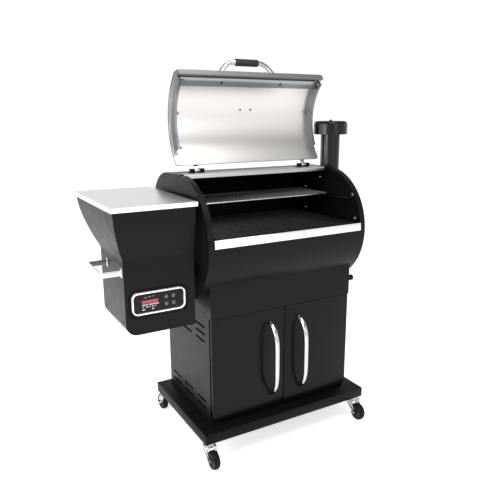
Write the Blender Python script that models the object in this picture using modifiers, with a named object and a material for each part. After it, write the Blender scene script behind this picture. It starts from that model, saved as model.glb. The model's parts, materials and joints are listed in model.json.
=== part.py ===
"""A pellet smoker grill: a barrel cooker on a cupboard with casters, fed by a pellet hopper.

Metres, +Z up. The front faces -Y and the hopper is on the -X side. The origin is on the floor,
under the middle of the whole grill. The barrel lid is modelled standing open, everything else shut.
"""

import math

import bmesh
import bpy
from mathutils import Matrix, Vector

# ---------------------------------------------------------------- driving dimensions
GAP = 0.0003            # clearance between touching pieces
SHEET = 0.002           # thickness of the steel panels

# casters
WHEEL_R = 0.039
CASTER_HEAD = 0.028     # room for the fork and the race over the wheel
WHEEL_WIDTH = 0.028
AXLE_R = 0.004
FORK_WIDTH = 0.046
FORK_PLATE = 0.0025
CASTER_TRAIL = 0.036
CASTER_INSET = 0.029    # swivel axis in from the tray's end
CASTER_INSET_Y = 0.026  # swivel axis in from the tray's front and back

# base tray
TRAY_LENGTH = 0.820
TRAY_DEPTH = 0.542
TRAY_HEIGHT = 0.044
TRAY_LIP = 0.070

# cupboard
CABINET_LENGTH = 0.700
CABINET_FRONT = -0.2155     # front face of the doors and of the fascia above them
CABINET_BACK = 0.238
DOOR_DEPTH = 0.019
DOOR_CLEARANCE = 0.0015
DOOR_BASE = 0.027           # door's lower edge above the tray
DOOR_HEIGHT = 0.436
DOOR_RADIUS = 0.005
SLOT_LENGTH = 0.093
SLOT_HEIGHT = 0.009
SLOT_PITCH_Y = 0.133
SLOT_PITCH_Z = 0.032

# handles
PULL_SPAN = 0.322
PULL_REACH = 0.060
PULL_R = 0.0105
PULL_X = 0.074
PULL_LOW = 0.055            # lower foot above the door's lower edge

# barrel
BARREL_LENGTH = 0.760
BARREL_R = 0.258
BARREL_FLAT = 0.137         # from the front circle's centre back to the rear corners' centre
BARREL_REAR_R = 0.170
BARREL_Y = -0.014           # front circle's centre
FASCIA_HEIGHT = 0.045       # from the doors' top to the barrel's underside
BAND_WIDTH = 0.025
STRIP_HEIGHT = 0.033
STRIP_TOP = 0.035           # strip's upper edge above the circle's centre
LEDGE_DROP = 0.018

# lid
LID_INSET = 0.016           # lid's end in from the barrel's end
LID_CLEARANCE = 0.005       # between the lid's skin and the barrel's circle
LID_FRONT_ANGLE = 8.5
LID_REAR_ANGLE = 100.0
LID_OPEN = 122.0
LID_FLANGE = 0.020
LID_RIB = 0.035
LID_RIB_INSET = 0.016
HINGE_Y = 0.053
HINGE_RISE = 0.010          # hinge pin above the barrel's flat top
HINGE_X = 0.272
HINGE_LENGTH = 0.066
HINGE_PIN_R = 0.003
KNUCKLE_R = 0.007
LIP_HEIGHT = 0.040
LIP_ANGLE = 20.0
GRIP_SPAN = 0.290
GRIP_REACH = 0.082
GRIP_DROOP = 6.7            # how many degrees the grip hangs below its feet round the lid
GRIP_LENGTH = 0.114
GRIP_R = 0.0155
GRIP_TUBE_R = 0.011

# chimney
CHIMNEY_R = 0.046
CHIMNEY_Y = 0.0785
CHIMNEY_FLANGE = 0.016      # flange's width around the pipe
CHIMNEY_DROP = 0.031        # inlet below the barrel's centre
CHIMNEY_TOP = 0.150         # pipe's mouth above the barrel's top
CAP_R = 0.080
CAP_HEIGHT = 0.062
CAP_OVERLAP = 0.006
CAP_TO_LID = 0.003          # sideways, so that the lid swings past the cap
STUD_R = 0.004
SLEEVE = 0.030

# grates and inside
GRATE_MARGIN = 0.042        # to the barrel's ends
GRATE_RISE = 0.034          # above the barrel's centre
GRATE_SETBACK = 0.027       # behind the barrel's front
GRATE_SPLIT = 0.012
GRATE_BACK = 0.200
GRATE_THICK = 0.004
RACK_RISE = 0.140           # above the barrel's centre
RACK_FRONT = -0.047
RACK_BACK = 0.190
POT_X = -0.080
POT_R = 0.050
POT_HEIGHT = 0.100
TRAY_SLOPE = 0.030
DRAIN_X = 0.300             # grease drain in the barrel's floor
DRAIN_Y = 0.050

# hopper
HOPPER_TO_BARREL = 0.027
HOPPER_WIDTH = 0.315
HOPPER_FRONT = -0.222
HOPPER_DEPTH = 0.512
HOPPER_RISE = 0.176         # rim above the barrel's centre
HOPPER_LID_OVERHANG = 0.007
HOPPER_LID_HEIGHT = 0.017
CREASE_DROP = 0.018         # crease below the barrel's centre
BASE_TO_BARREL = 0.030
BASE_WIDTH = 0.278
BASE_FRONT = -0.200
BASE_DEPTH = 0.285
BASE_DROP = 0.048           # housing's floor below the barrel's underside
BASE_CORNER = 0.045
HOPPER_OPEN_PIVOT = 0.006   # hinge pin behind the lid's rear rim
HOPPER_PIN_R = 0.0025

# strap handle on the hopper
STRAP_REACH = 0.075
STRAP_SPAN = 0.180
STRAP_FRONT = -0.185
STRAP_HEIGHT = 0.021
STRAP_THICK = 0.003
STRAP_DROP = 0.043          # below the crease

# controls
PANEL_FROM_SIDE = 0.146     # panel's middle, in from the housing's right side
PANEL_RISE = 0.119          # panel's middle over the housing's floor
PANEL_WIDTH = 0.210
PANEL_HEIGHT = 0.085
PANEL_RADIUS = 0.022
PANEL_MARGIN = 0.018        # recess around the bezel
RECESS = 0.010
BEZEL_WALL = 0.006
BEZEL_RISE = 0.004          # bezel in front of the housing's face
BUTTON_R = 0.0072
BUTTON_TRAVEL = 0.0012
BUTTON_X = (0.029, 0.058)
BUTTON_Z = 0.014

# auger and blower
AUGER_Y = 0.040
AUGER_RISE = 0.092          # above the barrel's underside
AUGER_TUBE_R = 0.027
AUGER_R = 0.0235
AUGER_CORE_R = 0.008
AUGER_PITCH = 0.045
AUGER_INSET = 0.068         # tube's end in from the housing's left side
FAN_INSET = 0.090           # blower in from the housing's right side
FAN_Y = 0.030
FAN_DROP = 0.088            # below the auger
FAN_R = 0.042
FAN_WIDTH = 0.030
BLADES = 7

# ---------------------------------------------------------------- values that follow
CASTER_HEIGHT = 2 * WHEEL_R + CASTER_HEAD
TRAY_TOP = CASTER_HEIGHT + TRAY_HEIGHT
DOOR_Z = TRAY_TOP + DOOR_BASE
DOOR_TOP = DOOR_Z + DOOR_HEIGHT
CARCASS_FRONT = CABINET_FRONT + DOOR_DEPTH + DOOR_CLEARANCE
HALF_CABINET = CABINET_LENGTH / 2
HALF_BARREL = BARREL_LENGTH / 2
BARREL_BOTTOM = DOOR_TOP + FASCIA_HEIGHT
BARREL_CENTRE_Z = BARREL_BOTTOM + BARREL_R
BARREL_TOP = BARREL_CENTRE_Z + BARREL_R
REAR_Y = BARREL_Y + BARREL_FLAT
LID_R = BARREL_R + LID_CLEARANCE + SHEET / 2
LID_LENGTH = BARREL_LENGTH - 2 * LID_INSET
LID_RIB_X = LID_LENGTH / 2 - LID_RIB_INSET
CHIMNEY_INLET_Z = BARREL_CENTRE_Z - CHIMNEY_DROP
GRATE_HALF = HALF_BARREL - GRATE_MARGIN
GRATE_Z = BARREL_CENTRE_Z + GRATE_RISE
GRATE_FRONT = BARREL_Y - BARREL_R + GRATE_SETBACK
RACK_Z = BARREL_CENTRE_Z + RACK_RISE
HOPPER_RIGHT = -HALF_BARREL - HOPPER_TO_BARREL
HOPPER_TOP = BARREL_CENTRE_Z + HOPPER_RISE
CREASE_Z = BARREL_CENTRE_Z - CREASE_DROP
BASE_RIGHT = -HALF_BARREL - BASE_TO_BARREL
BASE_LEFT = BASE_RIGHT - BASE_WIDTH
BASE_BOTTOM = BARREL_BOTTOM - BASE_DROP
STRAP_Z = CREASE_Z - STRAP_DROP
PANEL_X = BASE_RIGHT - PANEL_FROM_SIDE
PANEL_Z = BASE_BOTTOM + PANEL_RISE
AUGER_Z = BARREL_BOTTOM + AUGER_RISE
AUGER_LEFT = BASE_LEFT + AUGER_INSET
FAN_X = BASE_RIGHT - FAN_INSET
FAN_Z = AUGER_Z - FAN_DROP
HINGE = Vector((0, HINGE_Y, BARREL_TOP + HINGE_RISE))
HOPPER_LEFT = HOPPER_RIGHT - HOPPER_WIDTH
HOPPER_BACK = HOPPER_FRONT + HOPPER_DEPTH
BASE_BACK = BASE_FRONT + BASE_DEPTH
HOPPER_PIN_Y = HOPPER_BACK + HOPPER_LID_OVERHANG + HOPPER_OPEN_PIVOT
HOPPER_PIN_Z = HOPPER_TOP - 0.003

parts = bpy.data.collections.new("pellet_smoker_grill")
cutters = bpy.data.collections.new("cutters")


# ---------------------------------------------------------------- materials
def linear(channel):
    """An sRGB channel from 0 to 1, as linear light."""
    return channel / 12.92 if channel <= 0.04045 else ((channel + 0.055) / 1.055) ** 2.4


def material(name, colour, roughness, metallic=0.0):
    """A Principled material from a six-digit sRGB colour."""
    made = bpy.data.materials.new(name)
    made.use_nodes = True
    shader = made.node_tree.nodes["Principled BSDF"]
    channels = [int(colour[i:i + 2], 16) / 255 for i in (0, 2, 4)]
    shader.inputs["Base Color"].default_value = [linear(c) for c in channels] + [1.0]
    shader.inputs["Roughness"].default_value = roughness
    shader.inputs["Metallic"].default_value = metallic
    return made


# ---------------------------------------------------------------- building tools
def place(obj, finish=None, collection=None):
    """Puts an object in the part's collection and gives it a material of its own."""
    (collection or parts).objects.link(obj)
    if finish:
        obj.data.materials.append(material(obj.name, *finish))
    return obj


def from_bmesh(name, bm, finish=None, collection=None):
    """A new object from a bmesh, with its faces turned outwards."""
    bmesh.ops.recalc_face_normals(bm, faces=bm.faces)
    if bm.calc_volume(signed=True) < 0:
        bmesh.ops.reverse_faces(bm, faces=bm.faces)
    mesh = bpy.data.meshes.new(name)
    bm.to_mesh(mesh)
    bm.free()
    return place(bpy.data.objects.new(name, mesh), finish, collection)


def as_cutter(obj):
    """Marks an object as a tool for Booleans, which is never built."""
    obj.hide_render = True
    obj.display_type = "WIRE"
    return obj


def box(name, low, high, finish=None, collection=None):
    """A box between two corners."""
    bm = bmesh.new()
    bmesh.ops.create_cube(bm, size=1)
    low, high = Vector(low), Vector(high)
    bmesh.ops.scale(bm, vec=high - low, verts=bm.verts)
    bmesh.ops.translate(bm, vec=(low + high) / 2, verts=bm.verts)
    return from_bmesh(name, bm, finish, collection)


def rod(name, start, end, radius, finish=None, collection=None, sides=24):
    """A round bar between two points."""
    start, end = Vector(start), Vector(end)
    bm = bmesh.new()
    bmesh.ops.create_cone(bm, cap_ends=True, segments=sides, radius1=radius, radius2=radius,
                          depth=(end - start).length)
    turn = (end - start).to_track_quat("Z", "Y").to_matrix().to_4x4()
    bm.transform(Matrix.Translation((start + end) / 2) @ turn)
    return from_bmesh(name, bm, finish, collection)


def arc(centre, radius, first, last, count):
    """Points on an arc in a plane, angles in degrees from the plane's first axis."""
    steps = [math.radians(first + (last - first) * i / count) for i in range(count + 1)]
    return [(centre[0] + radius * math.cos(a), centre[1] + radius * math.sin(a)) for a in steps]


def rounded(centre, width, height, radius, count=6):
    """A rounded rectangle's outline."""
    x, y = width / 2 - radius, height / 2 - radius
    corners = ((x, y, 0), (-x, y, 90), (-x, -y, 180), (x, -y, 270))
    return [p for cx, cy, a in corners
            for p in arc((centre[0] + cx, centre[1] + cy), radius, a, a + 90, count)]


PLANES = {"XY": (0, 0, 0), "XZ": (math.pi / 2, 0, 0), "YZ": (math.pi / 2, 0, math.pi / 2)}


def mesh_from_curve(curve, name, finish, collection):
    """Turns a curve object into a welded mesh object in world coordinates."""
    bpy.context.scene.collection.objects.link(curve)
    bpy.context.view_layer.update()
    seen = curve.evaluated_get(bpy.context.evaluated_depsgraph_get())
    mesh = bpy.data.meshes.new_from_object(seen)
    bm = bmesh.new()
    bm.from_mesh(mesh)
    bm.transform(curve.matrix_world)
    bmesh.ops.remove_doubles(bm, verts=bm.verts, dist=1e-6)
    bpy.data.meshes.remove(mesh)
    bpy.data.objects.remove(curve)
    return from_bmesh(name, bm, finish, collection)


def plate(name, plane, first, last, outline, finish=None, holes=(), collection=None):
    """A flat outline, with holes, filled from one level to another across its plane."""
    data = bpy.data.curves.new(name, "CURVE")
    data.dimensions = "2D"
    data.fill_mode = "BOTH"
    data.extrude = abs(last - first) / 2
    for ring in (outline, *holes):
        spline = data.splines.new("POLY")
        spline.points.add(len(ring) - 1)
        for point, (a, b) in zip(spline.points, ring):
            point.co = (a, b, 0, 1)
        spline.use_cyclic_u = True
    curve = bpy.data.objects.new(name, data)
    curve.rotation_euler = PLANES[plane]
    middle = (first + last) / 2
    curve.location = {"XY": (0, 0, middle), "XZ": (0, middle, 0), "YZ": (middle, 0, 0)}[plane]
    return mesh_from_curve(curve, name, finish, collection)


def tube(name, points, radius, finish=None, collection=None, detail=3, capped=True):
    """A round tube along points."""
    data = bpy.data.curves.new(name, "CURVE")
    data.dimensions = "3D"
    data.bevel_depth = radius
    data.bevel_resolution = detail
    data.use_fill_caps = capped
    spline = data.splines.new("POLY")
    spline.points.add(len(points) - 1)
    for point, place_at in zip(spline.points, points):
        point.co = (*place_at, 1)
    return mesh_from_curve(bpy.data.objects.new(name, data), name, finish, collection)


def sheet(name, path, first, last, finish=None, collection=None, thickness=SHEET):
    """Sheet metal bent along a path in the YZ plane and running along X."""
    bm = bmesh.new()
    verts = [bm.verts.new((first, y, z)) for y, z in path]
    edges = [bm.edges.new(pair) for pair in zip(verts, verts[1:])]
    grown = bmesh.ops.extrude_edge_only(bm, edges=edges)["geom"]
    moved = [v for v in grown if isinstance(v, bmesh.types.BMVert)]
    bmesh.ops.translate(bm, vec=(last - first, 0, 0), verts=moved)
    obj = from_bmesh(name, bm, finish, collection)
    thicken(obj, thickness)
    return obj


def thicken(obj, thickness, offset=0.0):
    """Gives an open surface its wall."""
    wall = obj.modifiers.new("wall", "SOLIDIFY")
    wall.thickness = thickness
    wall.offset = offset
    wall.use_even_offset = True


def loft(name, rings, finish=None, collection=None, closed=True):
    """A skin through rings of equal counts of points, open at the first and last ring."""
    bm = bmesh.new()
    rows = [[bm.verts.new(p) for p in ring] for ring in rings]
    for low, high in zip(rows, rows[1:]):
        count = len(low) if closed else len(low) - 1
        for i in range(count):
            j = (i + 1) % len(low)
            bm.faces.new((low[i], low[j], high[j], high[i]))
    return from_bmesh(name, bm, finish, collection)


def turned(name, profile, at, axis, finish=None, collection=None, steps=32, ring=False):
    """A profile of (radius, height) pairs, top to bottom, turned about an axis through a point."""
    bm = bmesh.new()
    verts = [bm.verts.new((r, 0, h)) for r, h in profile]
    pairs = list(zip(verts, verts[1:]))
    if ring:
        pairs.append((verts[-1], verts[0]))
    for pair in pairs:
        bm.edges.new(pair)
    mesh = bpy.data.meshes.new(name)
    bm.to_mesh(mesh)
    bm.free()
    obj = place(bpy.data.objects.new(name, mesh), finish, collection)
    turn = obj.modifiers.new("turn", "SCREW")
    turn.steps = steps
    turn.render_steps = steps
    turn.use_merge_vertices = True
    turn.merge_threshold = 0.00001
    obj.location = at
    obj.rotation_mode = "QUATERNION"
    obj.rotation_quaternion = Vector(axis).to_track_quat("Z", "Y")
    return obj


def boolean(obj, tool, operation):
    """Adds one exact Boolean step, and puts the tool out of sight."""
    if tool.name in parts.objects:
        parts.objects.unlink(tool)
        cutters.objects.link(tool)
    as_cutter(tool)
    step = obj.modifiers.new(operation.lower(), "BOOLEAN")
    step.operation = operation
    step.solver = "EXACT"
    step.object = tool
    return obj


def cut(obj, *tools):
    """Takes the tools away from an object."""
    for tool in tools:
        boolean(obj, tool, "DIFFERENCE")
    return obj


def fuse(obj, *tools):
    """Joins the tools to an object as one solid."""
    for tool in tools:
        boolean(obj, tool, "UNION")
    return obj


def hang(obj, pivot):
    """Parents an object, and the tools that shape it, to a pivot empty and moves its origin there."""
    for piece in [obj] + [m.object for m in obj.modifiers if m.type == "BOOLEAN"]:
        if piece.parent:
            continue
        if piece.type == "MESH" and piece.location.length == 0:
            piece.data.transform(Matrix.Translation(-pivot.location))
        else:
            piece.location -= pivot.location
        piece.parent = pivot
    return obj


def pivot(name, at):
    """An empty on a joint's axis."""
    made = bpy.data.objects.new(name, None)
    made.empty_display_size = 0.03
    made.location = at
    parts.objects.link(made)
    return made


def side(sign):
    """The word for a side: -1 is the hopper's side."""
    return "left" if sign < 0 else "right"


# ---------------------------------------------------------------- finishes: colour, roughness, metallic
BLACK = ("232323", 0.42)
STEEL = ("d6d6d6", 0.28, 1.0)
CHROME = ("e4e4e4", 0.12, 1.0)
GREY = ("8c8c8c", 0.40, 0.6)
IRON = ("1c1c1c", 0.60)
RUBBER = ("1a1a1a", 0.70)
WHITE = ("efefef", 0.30)
GLASS = ("0c0c0e", 0.10)


# ---------------------------------------------------------------- base and casters
def base_tray():
    """The tray: a folded sheet pan, open below, with a lip that carries the caster plates."""
    x, y = TRAY_LENGTH / 2, TRAY_DEPTH / 2
    tray = box("base_tray", (-x, -y, CASTER_HEIGHT), (x, y, TRAY_TOP), BLACK)
    inside = box("tray_inside", (-x + SHEET, -y + SHEET, CASTER_HEIGHT + SHEET),
                 (x - SHEET, y - SHEET, TRAY_TOP - SHEET))
    window = box("tray_window", (-x + TRAY_LIP, -y + TRAY_LIP, CASTER_HEIGHT - SHEET),
                 (x - TRAY_LIP, y - TRAY_LIP, CASTER_HEIGHT + 2 * SHEET))
    cut(tray, inside, window)


def caster(sign_x, sign_y):
    """One swivel caster: its wheel trails outwards, to the front or the back."""
    name = ("rear_" if sign_y > 0 else "front_") + side(sign_x)
    x = sign_x * (TRAY_LENGTH / 2 - CASTER_INSET)
    y = sign_y * (TRAY_DEPTH / 2 - CASTER_INSET_Y)
    axle_y = y + sign_y * CASTER_TRAIL
    top = CASTER_HEIGHT - GAP
    web = CASTER_HEIGHT - 0.020
    swivel = pivot("swivel_" + name, (x, y, CASTER_HEIGHT))
    half = FORK_WIDTH / 2
    round_end = arc((axle_y, WHEEL_R), 0.012, 0, -180, 8)
    outline = [(y + 0.022, web), (y - 0.022, web), (y - 0.022, web - 0.008)]
    outline += list(reversed(round_end)) + [(y + 0.022, web - 0.008)]
    fork = plate("caster_fork_" + name, "YZ", x - half, x + half, outline, CHROME)
    gap = half - FORK_PLATE
    slot = box("fork_slot", (x - gap, y - 0.1, 0), (x + gap, y + 0.1, web - 0.0035))
    cut(fork, slot)
    race = rod("fork_race", (x, y, web - 0.002), (x, y, top), 0.021)
    axle = rod("fork_axle", (x - half - 0.003, axle_y, WHEEL_R), (x + half + 0.003, axle_y, WHEEL_R), AXLE_R)
    fuse(fork, race, axle)
    hang(fork, swivel)
    half = WHEEL_WIDTH / 2
    tread = [(AXLE_R + GAP, half), (0.012, half), (0.014, half - 0.003), (0.027, half - 0.003),
             (0.030, half), (WHEEL_R - 0.004, half), (WHEEL_R, half - 0.006)]
    profile = tread + [(r, -h) for r, h in reversed(tread)]
    wheel = turned("caster_wheel_" + name, profile, (x, axle_y, WHEEL_R), (1, 0, 0), RUBBER, ring=True)
    wheel.location -= swivel.location
    wheel.parent = swivel


# ---------------------------------------------------------------- cupboard
def slot_holes():
    """Outlines of the cooling slots in a side panel: three rows above, two rows below."""
    first = CARCASS_FRONT + 0.039
    rows = [TRAY_TOP + 0.080 - SLOT_PITCH_Z * i for i in range(2)]
    rows += [DOOR_TOP - 0.047 - SLOT_PITCH_Z * i for i in range(3)]
    half = SLOT_LENGTH / 2
    return [rounded((first + half + SLOT_PITCH_Y * i, z), SLOT_LENGTH, SLOT_HEIGHT, SLOT_HEIGHT / 2.01, 2)
            for i in range(3) for z in rows]


def cabinet_side(sign):
    """A side panel with its slots."""
    low, high = TRAY_TOP + GAP, DOOR_TOP + DOOR_CLEARANCE
    outline = [(CARCASS_FRONT, low), (CABINET_BACK, low), (CABINET_BACK, high), (CARCASS_FRONT, high)]
    inner, outer = sign * (HALF_CABINET - SHEET), sign * HALF_CABINET
    plate("cabinet_side_" + side(sign), "YZ", inner, outer, outline, BLACK, slot_holes())


def cabinet_back():
    """The back panel, between the sides."""
    x = HALF_CABINET - SHEET - GAP
    box("cabinet_back", (-x, CABINET_BACK - SHEET, TRAY_TOP + GAP),
        (x, CABINET_BACK, DOOR_TOP + DOOR_CLEARANCE), BLACK)


def cabinet_floor():
    """The cupboard's floor, with its front edge folded down to the tray."""
    x = HALF_CABINET - SHEET - GAP
    path = [(CABINET_BACK - SHEET - GAP, DOOR_Z), (CARCASS_FRONT + SHEET, DOOR_Z),
            (CARCASS_FRONT + SHEET, TRAY_TOP + GAP)]
    sheet("cabinet_floor", path, -x, x, BLACK)


def barrel_outline(grow=0.0, first=90.0):
    """The barrel's outer section, from an angle on the front circle round to the top."""
    top = BARREL_TOP - BARREL_REAR_R
    bottom = BARREL_BOTTOM + BARREL_REAR_R
    path = arc((BARREL_Y, BARREL_CENTRE_Z), BARREL_R + grow, first, 270, 36)
    path += arc((REAR_Y, bottom), BARREL_REAR_R + grow, 270, 360, 10)
    return path + arc((REAR_Y, top), BARREL_REAR_R + grow, 0, 90, 10)


def fascia():
    """The box between cupboard and barrel: its upper edge is cut to the barrel's section."""
    x, low = HALF_CABINET, DOOR_TOP + DOOR_CLEARANCE + GAP
    high = BARREL_CENTRE_Z - 0.1
    shell = box("fascia", (-x, CABINET_FRONT, low), (x, CABINET_BACK, high), BLACK)
    inside = box("fascia_inside", (-x + SHEET, CABINET_FRONT + SHEET, low + SHEET),
                 (x - SHEET, CABINET_BACK - SHEET, high + SHEET))
    seat = plate("barrel_seat", "YZ", -HALF_BARREL, HALF_BARREL, barrel_outline(GAP))
    hole = rod("spout_hole", (x - 0.01, SPOUT_Y, SPOUT_Z), (x + 0.01, SPOUT_Y, SPOUT_Z), SPOUT_R + GAP)
    cut(shell, inside, seat, hole)


SPOUT_Y = CABINET_FRONT + 0.026
SPOUT_Z = DOOR_TOP + 0.066
SPOUT_R = 0.0135
SPOUT_REACH = 0.036


def drain_spout():
    """The grease spout, with a collar on each face of the fascia."""
    x = HALF_CABINET
    bore, collar = SPOUT_R - 0.003, SPOUT_R + 0.004
    profile = [(bore, SPOUT_REACH), (SPOUT_R, SPOUT_REACH), (SPOUT_R, 0.004), (collar, 0.004),
               (collar, GAP), (SPOUT_R, GAP), (SPOUT_R, -0.030), (bore, -0.030)]
    turned("drain_spout", profile, (x, SPOUT_Y, SPOUT_Z), (1, 0, 0), BLACK, ring=True, steps=20)


def door(sign):
    """A door: a folded pan, hinged on a pin near its outer edge."""
    outer = sign * (HALF_CABINET - 0.0025)
    inner = sign * DOOR_CLEARANCE / 2
    low, high = sorted((outer, inner))
    back = CABINET_FRONT + DOOR_DEPTH
    turn = pivot("door_pivot_" + side(sign), (sign * (HALF_CABINET - 0.008), CABINET_FRONT + 0.010, DOOR_Z))
    middle = ((low + high) / 2, (CABINET_FRONT + back) / 2)
    shape = rounded(middle, high - low, DOOR_DEPTH, DOOR_RADIUS, 4)
    pan = plate("door_" + side(sign), "XY", DOOR_Z, DOOR_TOP, shape, BLACK)
    inside = box("door_inside", (low + SHEET, CABINET_FRONT + SHEET, DOOR_Z + SHEET),
                 (high - SHEET, back + SHEET, DOOR_TOP - SHEET))
    hang(cut(pan, inside), turn)
    x = sign * PULL_X
    z = DOOR_Z + PULL_LOW
    face = CABINET_FRONT - GAP
    hang(tube("door_handle_" + side(sign), [(x, face - reach, z + up) for up, reach in pull_path()],
              PULL_R, CHROME), turn)


def pull_path():
    """A door handle's centre line as (height, reach): feet, sloping ends and a straight middle."""
    half = PULL_SPAN / 2
    corner = half - 0.085
    rise = [(half, 0.0), (half, 0.005), (half - 0.005, 0.017), (corner + 0.052, PULL_REACH * 0.60),
            (corner + 0.026, PULL_REACH * 0.86), (corner, PULL_REACH * 0.97), (corner - 0.030, PULL_REACH)]
    low = [(half - up, reach) for up, reach in rise]
    return low + [(half + up, reach) for up, reach in reversed(rise)]


# ---------------------------------------------------------------- barrel
def barrel_shell():
    """The trough and back in one sheet, ending in a folded ledge over the opening."""
    start = 180 - math.degrees(math.asin((STRIP_TOP - 0.001) / BARREL_R))
    path = barrel_outline(-SHEET / 2, start)
    ledge = BARREL_TOP - SHEET / 2
    path += [(SHEET / 2, ledge), (SHEET / 2, ledge - LEDGE_DROP)]
    x = HALF_BARREL - SHEET - GAP
    shell = sheet("barrel_shell", path, -x, x, BLACK)
    drain = rod("drain_hole", (DRAIN_X, DRAIN_Y, BARREL_BOTTOM - 0.02),
                (DRAIN_X, DRAIN_Y, BARREL_BOTTOM + 0.02), 0.012)
    cut(shell, drain)


def end_plate(sign):
    """An end of the barrel, with the band that frames the opening and a ledge for the rack."""
    inner, outer = sign * (HALF_BARREL - SHEET), sign * HALF_BARREL
    end = plate("barrel_end_" + side(sign), "YZ", inner, outer, barrel_outline(), BLACK)
    start = math.degrees(math.asin((STRIP_TOP + GAP) / BARREL_R))
    finish = math.degrees(math.acos((SHEET + GAP - BARREL_Y + SHEET) / BARREL_R))
    bend = arc((BARREL_Y, BARREL_CENTRE_Z), BARREL_R - SHEET, 180 - start, finish + 7, 24)
    band = sheet("band", bend, sign * (HALF_BARREL - BAND_WIDTH), sign * (HALF_BARREL - 0.6 * SHEET))
    rail = box("rail", *corners(sign, RACK_FRONT - 0.140, RACK_Z - 0.011, RACK_BACK, RACK_Z - 0.008))
    fuse(end, band, rail)
    rail = box("rail", *corners(sign, GRATE_FRONT + 0.004, GRATE_Z - 0.006, GRATE_BACK, GRATE_Z - 0.003))
    fuse(end, rail)
    if sign < 0:
        cut(end, rod("auger_hole", (inner - 0.01, AUGER_Y, AUGER_Z), (inner + 0.01, AUGER_Y, AUGER_Z),
                     AUGER_TUBE_R + GAP))
    else:
        cut(end, rod("smoke_hole", (inner - 0.01, CHIMNEY_Y, CHIMNEY_INLET_Z),
                     (inner + 0.01, CHIMNEY_Y, CHIMNEY_INLET_Z), CHIMNEY_R - SHEET))


def corners(sign, front, low, back, high):
    """Two corners of a ledge that runs front to back on the inside of a barrel end."""
    reach, wall = sign * (GRATE_HALF - 0.006), sign * (HALF_BARREL - 0.4 * SHEET)
    return (min(reach, wall), front, low), (max(reach, wall), back, high)


def front_strip():
    """The polished strip along the front of the opening."""
    low = math.degrees(math.asin((STRIP_TOP - STRIP_HEIGHT) / BARREL_R))
    high = math.degrees(math.asin(STRIP_TOP / BARREL_R))
    bend = arc((BARREL_Y, BARREL_CENTRE_Z), BARREL_R + GAP + SHEET / 2, 180 - low, 180 - high, 3)
    x = HALF_BARREL - BAND_WIDTH - GAP
    sheet("front_strip", bend, -x, x, STEEL)


def chimney():
    """The chimney pipe, bent out of the barrel's end, with a cross bar and stud for its cap."""
    x = HALF_BARREL + GAP
    stand = LID_LENGTH / 2 + CAP_TO_LID + CAP_R
    straight = 0.004
    bend = stand - x - straight
    top = BARREL_TOP + CHIMNEY_TOP
    turn = arc((x + straight, CHIMNEY_INLET_Z + bend), bend, 270, 360, 8)
    path = [(x, CHIMNEY_Y, CHIMNEY_INLET_Z)] + [(px, CHIMNEY_Y, pz) for px, pz in turn]
    path += [(stand, CHIMNEY_Y, top)]
    pipe = tube("chimney_pipe", path, CHIMNEY_R - SHEET / 2, BLACK, detail=6, capped=False)
    thicken(pipe, SHEET)
    bore, rim = CHIMNEY_R - SHEET / 2, CHIMNEY_R + CHIMNEY_FLANGE
    flange = turned("pipe_flange", [(bore, 0.003), (rim, 0.003), (rim, 0), (bore, 0)],
                    (x, CHIMNEY_Y, CHIMNEY_INLET_Z), (1, 0, 0), ring=True)
    bar = box("pipe_bar", (stand - CHIMNEY_R + SHEET / 2, CHIMNEY_Y - 0.006, top - 0.016),
              (stand + CHIMNEY_R - SHEET / 2, CHIMNEY_Y + 0.006, top - 0.013))
    stud_top = top - CAP_OVERLAP + CAP_HEIGHT - SHEET - GAP
    stud = rod("pipe_stud", (stand, CHIMNEY_Y, top - 0.014), (stand, CHIMNEY_Y, stud_top), STUD_R, sides=12)
    fuse(pipe, flange, bar, stud)
    chimney_cap(stand, top)


def chimney_cap(x, pipe_top):
    """The cap: an upturned cup with a sleeve that slides on the stud to set the draught."""
    low = pipe_top - CAP_OVERLAP
    bend = 0.016
    outer = [(CAP_R - bend + r, CAP_HEIGHT - bend + h)
             for r, h in reversed(arc((0, 0), bend, 0, 90, 5))]
    inner = [(r - SHEET if r > CAP_R - bend / 2 else r, h - SHEET) for r, h in reversed(outer)]
    bore = STUD_R + GAP
    wall = bore + 0.0025
    under = CAP_HEIGHT - SHEET
    profile = [(0, CAP_HEIGHT + 0.007), (0.006, CAP_HEIGHT + 0.005), (0.008, CAP_HEIGHT)] + outer
    profile += [(CAP_R, 0), (CAP_R - SHEET, 0)] + inner
    profile += [(wall, under), (wall, under - SLEEVE), (bore, under - SLEEVE), (bore, under), (0, under)]
    cap = turned("chimney_cap", profile, (x, CHIMNEY_Y, low), (0, 0, 1), BLACK, steps=36)
    turn = pivot("cap_pivot", (x, CHIMNEY_Y, low + CAP_HEIGHT))
    cap.location -= turn.location
    cap.parent = turn


# ---------------------------------------------------------------- lid
def on_lid(radius, angle):
    """A point of the shut lid's section: angle in degrees, from straight ahead round to the top."""
    a = math.radians(180 - angle)
    return (BARREL_Y + radius * math.cos(a), BARREL_CENTRE_Z + radius * math.sin(a))


def lid():
    """The lid and all that it carries, drawn shut and then swung open about its hinge."""
    turn = pivot("lid_pivot", HINGE)
    pieces = [lid_shell(), lid_lip(), *lid_handle()]
    for sign in (-1, 1):
        hinge_base(sign)
        pieces.append(hinge_leaf(sign))
    for piece in pieces:
        hang(piece, turn)
    turn.rotation_euler.x = -math.radians(LID_OPEN)


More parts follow.
